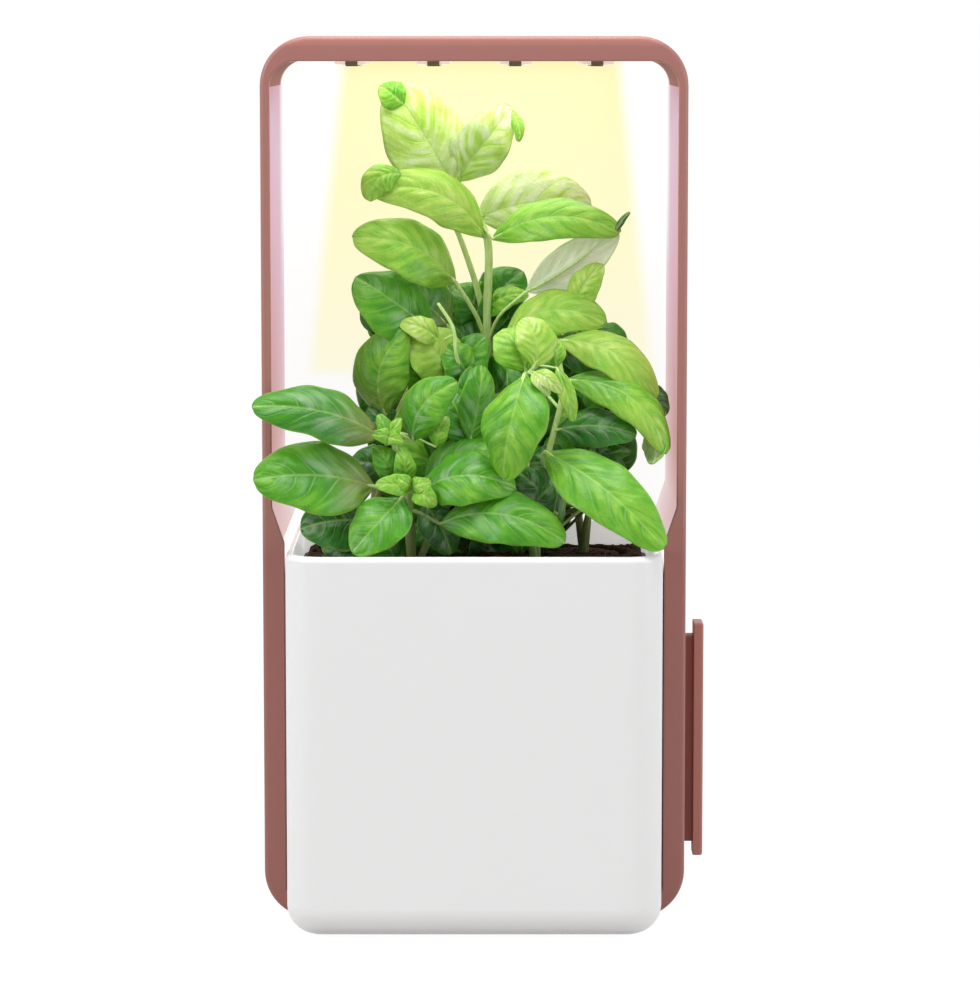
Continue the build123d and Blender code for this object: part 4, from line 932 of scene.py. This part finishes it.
def add_leaf(builder, layers, leaf, number):
    """Adds a leaf's blade as one sheet of cells. Its number makes it uneven in its own way."""
    seed = 1.7 * number
    uneven_age = 0.16 * min(1.0, 0.4 + 1.5 * leaf.age)  # young leaves are more even
    axes = leaf_axes(leaf)
    face = axes[2]
    cup, fold = math.radians(leaf.cup) or 0.01, math.radians(leaf.fold)
    rows = []
    for i in range(ALONG + 1):
        t = i / ALONG - 0.11 * math.sin(2 * math.pi * i / ALONG)  # the rows are closer at both ends
        point = rib_point(leaf, axes, t)
        step = 0.5 / ALONG
        ahead = (rib_point(leaf, axes, min(1, t + step)) - rib_point(leaf, axes,
                                                                     max(0, t - step))).normalized()
        up = (face - ahead * face.dot(ahead)).normalized()
        out = ahead.cross(up)
        row = []
        for j in range(ACROSS + 1):
            v = 2 * j / ACROSS - 1
            uneven = 1 + 0.07 * noise.noise(Vector((4 * t, seed, 3 * math.copysign(1, v))))
            half = leaf.width / 2 * blade_share(t) * uneven + 0.35
            side = half * math.sin(cup * v) / cup
            rise = -half * (1 - math.cos(cup * v)) / cup + abs(side) * math.sin(fold)
            side *= math.cos(fold)
            rise += leaf.width / 80 * noise.noise(Vector((9 * t, 5 * v, seed)))
            phase = SIDE_VEINS * (t - VEIN_LEAN * abs(v) ** 1.1)
            phase += 0.5 * noise.noise(Vector((2.5 * t, 1.3 * v, seed + 4)))
            swell = abs(math.sin(math.pi * phase)) ** 0.8 * max(0.0, 1 - abs(v) ** 1.4)
            swell *= min(1, 4 * abs(v))
            rise += leaf.pucker * swell * min(1.0, 5 * t, 4 * (1 - t))
            rise += leaf.width / 26 * noise.noise(Vector((3.2 * t, 1.5 * v, seed))) * abs(v)
            wave = math.sin(2 * math.pi * (3.2 * t + 0.37 * seed))
            rise += leaf.width / 40 * abs(v) ** 3 * wave * blade_share(t)
            vertex = builder.verts.new(point + (out * side + up * rise) * MM)
            vertex[layers["rib"]] = abs(side) * MM
            vertex[layers["phase"]] = phase + number
            vertex[layers["age"]] = (leaf.age + uneven_age * noise.noise(Vector((2 * t, v,
                                                                                 seed + 9)))
                                     + 0.10 * (0.5 - t) * min(1.0, 3 * leaf.age))
            vertex[layers["blush"]] = leaf.blush * max(0.0, 1 - t / 0.45) * (1 - 0.4 * abs(v))
            vertex[layers["across"]] = v
            row.append(vertex)
        rows.append(row)
    for low, high in zip(rows, rows[1:]):
        for j in range(ACROSS):
            builder.faces.new((low[j], low[j + 1], high[j + 1], high[j])).smooth = True


# %% [markdown]
# ## Basil: where everything grows
# Every leaf has to be carried by a stem, seen from any side. So the stems come first, each rooted in a
# pot's peat plug and passing through a few chosen places. A leaf names its stem and how far up it
# starts; its stalk bends from there to the base of the blade and goes on under the blade as its
# midrib. Places are given as column and row of the frame, and depth in mm, so that a leaf can be
# set where it shows.

# %% Stems
# each stem: the pot it grows in, its radius at the foot and at the top in mm, and the places it passes
STEMS = {
    "tall": (2, 2.6, 1.8, [(494, 450, 3), (490, 385, 0), (487, 320, -3), (488, 243, -6),
                           (472, 212, -5),
                           (456, 190, -5)]),
    "twin": (2, 2.0, 1.3, [(489, 440, 8), (484, 340, 4), (479, 296, 1), (462, 243, 2),
                           (452, 220, 0)]),
    "sprig": (2, 1.3, 0.8, [(486, 450, -6), (470, 400, -22), (457, 358, -30), (453, 328, -30),
                            (438, 303, -28)]),
    "left": (1, 2.2, 1.3, [(378, 500, -6), (392, 430, -14), (420, 370, -14), (448, 330, -10)]),
    "left_back": (1, 2.0, 1.2, [(374, 500, 12), (380, 420, 8), (404, 350, 4)]),
    "right": (3, 2.2, 1.3, [(574, 480, 0), (562, 400, -12), (550, 345, -16), (532, 310, -12)]),
    "right_back": (3, 2.0, 1.2, [(590, 490, 14), (592, 400, 10), (572, 318, 2)]),
    "front_left": (4, 2.2, 1.2, [(412, 530, -57), (410, 505, -64), (409, 492, -70)]),
    "side_left": (4, 2.0, 1.2, [(406, 510, -50), (398, 460, -52), (388, 426, -54)]),
    "middle": (4, 2.0, 1.2, [(440, 515, -40), (462, 470, -44), (468, 438, -48)]),
    "front_right": (5, 2.2, 1.3, [(528, 510, -54), (526, 440, -56), (526, 376, -62)]),
    "side_right": (5, 2.0, 1.2, [(538, 510, -48), (548, 455, -50), (562, 395, -46),
                                 (558, 350, -36)]),
    "bud": (3, 1.6, 0.9, [(590, 505, -8), (598, 478, -26), (602, 458, -38)]),
}
stem_lines = {}
for name, (pot, foot, top, passes) in STEMS.items():
    root = Vector((pot_centres[pot - 1].x, pot_centres[pot - 1].y, plug_top - 4 * MM))
    root += Vector((1.5 if name.endswith(("back", "right")) else -1.5, 0, 0)) * MM
    stem_lines[name] = smooth_line([root, *[seen_at(*place) for place in passes]], 8)
print(len(stem_lines), "stems")

# %% Leaves
# a leaf: its stem, how far up that it starts, its base and its tip, its width in mm, and its shape
LEAVES = [
    # top of the tall stem
    Leaf("tall", 1.0, (453, 187, -6), (393, 88, -18), 42, 15, 4, 0, 26, age=0.12),
    Leaf("tall", 1.0, (404, 104, -18), (381, 86, -22), 15, 10, 2, 0, 26, age=0.46, pucker=0.5,
         stalk=False),
    Leaf("tall", 1.0, (457, 181, -4), (512, 112, -12), 28, -12, 3, -2, 24, 10, age=0.11, curl=8),
    Leaf("tall", 1.0, (509, 109, -4), (519, 140, -10), 6, 20, 1, -2, 40, age=0.40, pucker=0.3,
         stalk=False),
    Leaf("tall", 0.80, (485, 237, -9), (377, 186, -30), 28, 30, 8, 6, 30, curl=6, age=0.24),
    Leaf("tall", 0.80, (401, 174, -24), (369, 199, -31), 17, 20, 3, 4, 40, age=0.34, stalk=False),
    Leaf("tall", 0.80, (478, 218, -3), (592, 206, 8), 34, 8, 5, -4, 24, age=0.05),
    Leaf("tall", 0.80, (493, 239, -12), (617, 227, -34), 24, 30, 7, -5, 34, curl=5, age=0.40),
    Leaf("tall", 0.80, (615, 232, -30), (628, 212, -33), 3, 20, 1, 0, 40, age=1.0, blush=0.8,
         pucker=0.3,
         stalk=False),
    Leaf("tall", 0.44, (527, 291, -16), (616, 227, -28), 22, 165, 2, -3, 15, age=0.02),
    # left shoulder
    Leaf("tall", 0.42, (456, 283, -14), (359, 234, -34), 34, 30, 7, 3, 34, curl=6, age=0.36,
         blush=0.4),
    Leaf("left", 1.0, (432, 328, -16), (358, 276, -28), 37, 24, 6, -3, 32, age=0.60),
    Leaf("left", 1.0, (450, 328, -10), (398, 286, -14), 34, 25, 4, 0, age=0.70, blush=0.8),
    Leaf("left", 0.50, (386, 415, -24), (403, 333, -34), 31, 22, 5, -6, 30, age=0.50, blush=0.5),
    Leaf("left_back", 1.0, (425, 386, -20), (398, 350, -26), 18, 20, age=0.48),
    Leaf("sprig", 0.55, (457, 376, -22), (412, 334, -30), 29, 20, age=0.26, blush=0.3),
    Leaf("sprig", 0.75, (440, 342, -26), (402, 322, -32), 14, 30, age=0.24),
    Leaf("left_back", 0.9, (404, 330, 4), (362, 312, -6), 26, 30, age=0.80),
    Leaf("left_back", 0.6, (398, 455, -20), (370, 408, -26), 24, 25, age=0.92),
    Leaf("left", 0.6, (436, 425, -8), (420, 368, -12), 26, 25, age=0.88),
    # behind the tall stem
    Leaf("tall", 0.50, (486, 312, 8), (521, 271, 4), 27, 20, age=0.74),
    Leaf("twin", 0.70, (484, 318, 8), (455, 288, 4), 24, 20, age=0.70),
    Leaf("tall", 0.50, (484, 314, 2), (526, 292, -4), 16, 45, age=0.42),
    Leaf("twin", 0.50, (484, 374, 4), (450, 320, 0), 28, 22, age=0.82),
    Leaf("tall", 0.40, (490, 372, 2), (522, 322, -2), 28, 22, age=0.76),
    # right shoulder
    Leaf("right", 1.0, (508, 332, -18), (602, 319, -36), 27, 30, 6, -5, 30, curl=4, age=0.28),
    Leaf("right_back", 1.0, (573, 310, -22), (600, 264, -28), 16, 20, age=0.24),
    Leaf("right_back", 1.0, (586, 328, -6), (627, 357, -16), 20, 25, age=0.72, curl=4),
    Leaf("side_right", 1.0, (560, 340, -34), (656, 394, -54), 24, 30, 7, -4, 30, curl=6, age=0.24),
    Leaf("side_right", 0.92, (556, 350, -28), (614, 374, -36), 17, 30, age=0.80),
    Leaf("side_right", 0.80, (566, 380, -46), (669, 445, -64), 23, 32, 8, -6, 32, curl=7, age=0.43),
    Leaf("side_right", 0.78, (648, 432, -58), (655, 464, -60), 13, 150, age=0.50, stalk=False),
    Leaf("side_right", 0.78, (640, 388, -42), (667, 413, -48), 13, 20, age=0.90, blush=0.5,
         stalk=False),
    Leaf("side_right", 0.55, (556, 430, -50), (635, 433, -62), 22, 28, 4, -1, 30, age=0.84),
    Leaf("right", 0.70, (552, 405, -12), (592, 350, -16), 30, 22, age=0.86),
    Leaf("right", 0.62, (574, 432, -20), (642, 402, -30), 22, 25, age=0.92),
    Leaf("right", 0.55, (545, 440, -20), (562, 388, -22), 26, 20, age=0.92),
    Leaf("side_right", 0.95, (556, 368, -60), (556, 337, -56), 8, 10, age=0.36, pucker=0.4),
    Leaf("front_right", 1.0, (557, 368, -70), (574, 421, -74), 8, 10, age=0.30, pucker=0.4),
    Leaf("front_right", 1.0, (534, 372, -72), (561, 391, -78), 8, 15, age=0.16, pucker=0.4),
    Leaf("front_right", 1.0, (532, 374, -72), (549, 394, -78), 7, 15, age=0.12, pucker=0.4),
    # middle
    Leaf("front_right", 1.0, (534, 367, -66), (522, 318, -58), 21, 20, 3, 3, 20, 10, age=0.25),
    Leaf("front_right", 1.0, (526, 371, -62), (503, 328, -54), 24, 22, age=0.36),
    Leaf("front_right", 1.0, (524, 376, -68), (499, 475, -84), 35, 22, 9, -3, 36, curl=6, age=0.48),
    Leaf("middle", 1.0, (470, 441, -52), (482, 365, -46), 18, 15, age=0.56),
    Leaf("middle", 1.0, (468, 445, -50), (446, 390, -44), 23, 20, age=0.74),
    Leaf("side_left", 0.95, (413, 441, -60), (455, 382, -68), 24, 22, 6, -4, 36, age=0.55),
    Leaf("side_left", 0.95, (436, 447, -60), (446, 417, -62), 9, 15, age=0.38, pucker=0.4),
    # over the left post
    Leaf("side_left", 0.90, (381, 436, -62), (255, 404, -88), 29, 30, 7, 1, 30, curl=3, age=0.70,
         blush=1.0),
    Leaf("front_left", 0.80, (374, 487, -68), (255, 478, -92), 39, 25, 6, 1, 28, age=0.62,
         blush=0.9),
    Leaf("side_left", 0.60, (392, 472, -50), (350, 462, -54), 22, 25, age=0.90, blush=1.0),
    Leaf("side_left", 1.0, (388, 442, -58), (380, 416, -64), 9, 15, age=0.50, pucker=0.4),
    Leaf("side_left", 1.0, (390, 442, -58), (399, 420, -64), 8, 15, age=0.46, pucker=0.4),
    Leaf("side_left", 1.0, (389, 440, -60), (374, 434, -68), 8, 20, age=0.44, pucker=0.4),
    Leaf("side_left", 1.0, (389, 440, -60), (400, 440, -68), 8, 20, age=0.40, pucker=0.4),
    # low in front
    Leaf("front_left", 1.0, (402, 497, -74), (352, 550, -88), 28, 24, 4, -2, age=0.56),
    Leaf("front_left", 1.0, (420, 492, -68), (513, 483, -80), 30, 30, 8, -2, 34, curl=5, age=0.60),
    Leaf("middle", 0.80, (425, 480, -58), (516, 474, -64), 32, 36, 6, -8, 34, age=0.64),
    Leaf("front_left", 0.60, (440, 524, -72), (563, 538, -92), 30, 28, 7, -5, 30, curl=4, age=0.60),
    Leaf("front_left", 0.70, (424, 504, -62), (452, 553, -70), 20, 20, age=0.92),
    Leaf("side_right", 0.45, (545, 452, -64), (664, 546, -99), 32, 24, 9, 0, 28, age=0.49),
    Leaf("front_left", 1.0, (410, 489, -76), (377, 484, -82), 10, 15, age=0.42, pucker=0.2),
    Leaf("front_left", 1.0, (411, 489, -76), (392, 476, -80), 7, 15, age=0.40, pucker=0.2),
    Leaf("front_left", 1.0, (413, 491, -76), (435, 504, -82), 11, 15, age=0.42, pucker=0.2),
    Leaf("front_left", 1.0, (413, 489, -76), (429, 482, -80), 8, 15, age=0.38, pucker=0.2),
    Leaf("side_left", 0.60, (396, 481, -60), (376, 447, -64), 14, 15, age=0.60),
    Leaf("side_left", 0.60, (404, 485, -62), (402, 449, -66), 11, 15, age=0.44),
    Leaf("front_left", 0.50, (372, 522, -50), (302, 527, -60), 32, 28, age=0.95),
    Leaf("front_left", 0.40, (385, 532, -50), (322, 548, -56), 25, 28, age=0.92),
    Leaf("front_right", 0.40, (512, 516, -40), (553, 470, -44), 27, 20, age=1.0),
    Leaf("front_right", 0.40, (518, 512, -44), (558, 506, -50), 22, 25, age=1.0),
    Leaf("side_right", 0.30, (556, 514, -56), (520, 472, -62), 27, 20, age=0.95),
    Leaf("front_right", 0.30, (520, 530, -58), (550, 486, -64), 24, 20, age=0.90),
    Leaf("side_right", 0.50, (572, 470, -40), (530, 462, -46), 22, 20, age=0.90),
    Leaf("middle", 0.50, (470, 540, -20), (500, 470, -26), 34, 20, age=1.0),
    Leaf("middle", 0.40, (452, 545, -24), (430, 478, -28), 30, 20, age=1.0),
    # the bud on the right
    Leaf("bud", 1.0, (602, 458, -40), (628, 451, -46), 8, 15, age=0.85, blush=0.6, pucker=0.5),
    Leaf("bud", 1.0, (602, 460, -40), (624, 469, -46), 9, 15, age=0.80, blush=0.4, pucker=0.5),
    Leaf("bud", 1.0, (600, 457, -40), (612, 445, -44), 8, 15, age=0.90, blush=0.7, pucker=0.5),
    Leaf("bud", 1.0, (600, 460, -40), (592, 450, -44), 7, 15, age=0.95, pucker=0.5),
]
print(len(LEAVES), "chosen leaves")

# %% [markdown]
# The chosen leaves are the ones that can be told apart. Behind and between them the bush is full, so
# the rest is grown by rule: tips spread over the bush's outline, each blade pointing away from the
# pots, and each carried by the nearest stem. The random numbers have a fixed seed, so the same bush
# grows each time.

# %% Leaves that fill the bush
# the bush's left and right edge at a few rows of the frame, for the leaves at the back and halfway
BACK = [(282, 462, 520), (304, 452, 580), (326, 372, 600), (350, 370, 618), (374, 368, 632),
        (398, 372, 640), (422, 380, 626), (446, 384, 610), (470, 376, 556), (494, 366, 556),
        (518, 340, 552), (538, 330, 545)]
HALFWAY = [(340, 440, 560), (366, 420, 600), (392, 412, 610), (418, 420, 600), (444, 400, 560),
           (470, 396, 540), (496, 430, 548), (520, 350, 440)]


STALK_RISE = 12 * MM  # how far a leaf starts above its place on the stem
FAN_COLUMN, FAN_ROW = 490, 620  # the blades point away from this place of the frame


def fill(rows, step, nearest, farthest, youngest_lightest, oldest_darkest, seed):
    """Grows leaves with their tips spread over rows of the frame, between two depths in mm."""
    chance = random.Random(seed)
    for number, (row, left, right) in enumerate(rows):
        column = left + (number % 2) * step / 2
        while column <= right:
            tip = (column + chance.uniform(-6, 6), row + chance.uniform(-8, 8))
            depth = chance.uniform(nearest, farthest)
            angle = math.atan2(tip[1] - FAN_ROW, tip[0] - FAN_COLUMN) + chance.uniform(-0.7, 0.7)
            length = chance.uniform(52, 74)
            base = (tip[0] - length * math.cos(angle), tip[1] - length * math.sin(angle) * 0.9,
                    depth)
            start = seen_at(*base) - Vector((0, 0, STALK_RISE))
            near = [((line[i] - start).length, name, i / (len(line) - 1))
                    for name, line in stem_lines.items() for i in range(len(line) // 3, len(line))]
            stem, at = min(near, key=lambda spot: spot[0])[1:]
            LEAVES.append(Leaf(stem, at, base, (*tip, depth + chance.uniform(-14, 2)),
                               length * 0.25 + 7,
                               chance.uniform(5, 40), 4, chance.uniform(-3, 3),
                               age=chance.uniform(youngest_lightest, oldest_darkest)))
            column += step


# the leaves at the back get old, dark tones, a painted shade deep in the bush; those halfway get
# lighter ones
fill(BACK, 34, 6, 28, 0.66, 1.0, 5)
fill(HALFWAY, 40, -34, -14, 0.45, 0.8, 6)
print(len(LEAVES), "leaves")

# %% Grow the plants
STALK_STEPS = 4


def stalk_and_rib(leaf, line):
    """The line of a leaf's stalk and midrib, and its radii."""
    axes = leaf_axes(leaf)
    start = line[round(leaf.at * (len(line) - 1))]
    first = rib_point(leaf, axes, 0.0)
    ahead = (rib_point(leaf, axes, 0.1) - first).normalized()
    reach = (first - start).length
    rise = Vector((0, 0, 0.25 * reach))
    stalk = smooth_line([start, start.lerp(first, 0.45) + rise * 0.4 - ahead * 0.1 * reach, first],
                        STALK_STEPS)
    thick = (0.3 + 0.024 * leaf.width) * MM
    ribs = [thick * (0.78 - 0.07 * step) for step in range(9)]
    rib = [rib_point(leaf, axes, (step + 1) / 10) - axes[2] * (radius + 0.1 * MM)
           for step, radius in enumerate(ribs)]
    return (stalk + rib, [thick] * len(stalk) + ribs) if leaf.stalk else (rib, ribs)


for pot in range(1, 6):
    stems, blades = bmesh.new(), bmesh.new()
    layers = {name: blades.verts.layers.float.new(name) for name in LAYER_NAMES}
    own = {name: line for name, line in stem_lines.items() if STEMS[name][0] == pot}
    for name, line in own.items():
        foot, top = STEMS[name][1:3]
        radii = [(foot + (top - foot) * i / (len(line) - 1)) * MM for i in range(len(line))]
        add_tube(stems, line, radii, sides=12, square=0.09)
    for number, leaf in enumerate(LEAVES):
        if leaf.stem in own:
            add_leaf(blades, layers, leaf, number)
            line, radii = stalk_and_rib(leaf, own[leaf.stem])
            add_tube(stems, line, radii, sides=8)
    place_piece(f"basil_{pot}_stems", finished_mesh(stems, f"basil_{pot}_stems", stem_material),
                "tub",
                "basil_leaf", f"basil_{pot}")
    piece = place_piece(f"basil_{pot}_leaves",
                        finished_mesh(blades, f"basil_{pot}_leaves", leaf_upper,
                        leaf_under), "tub", "basil_leaf", f"basil_{pot}")
    skin = piece.modifiers.new("two skins", "SOLIDIFY")
    skin.thickness = 0.45 * MM
    skin.offset = -1
    skin.material_offset = 1
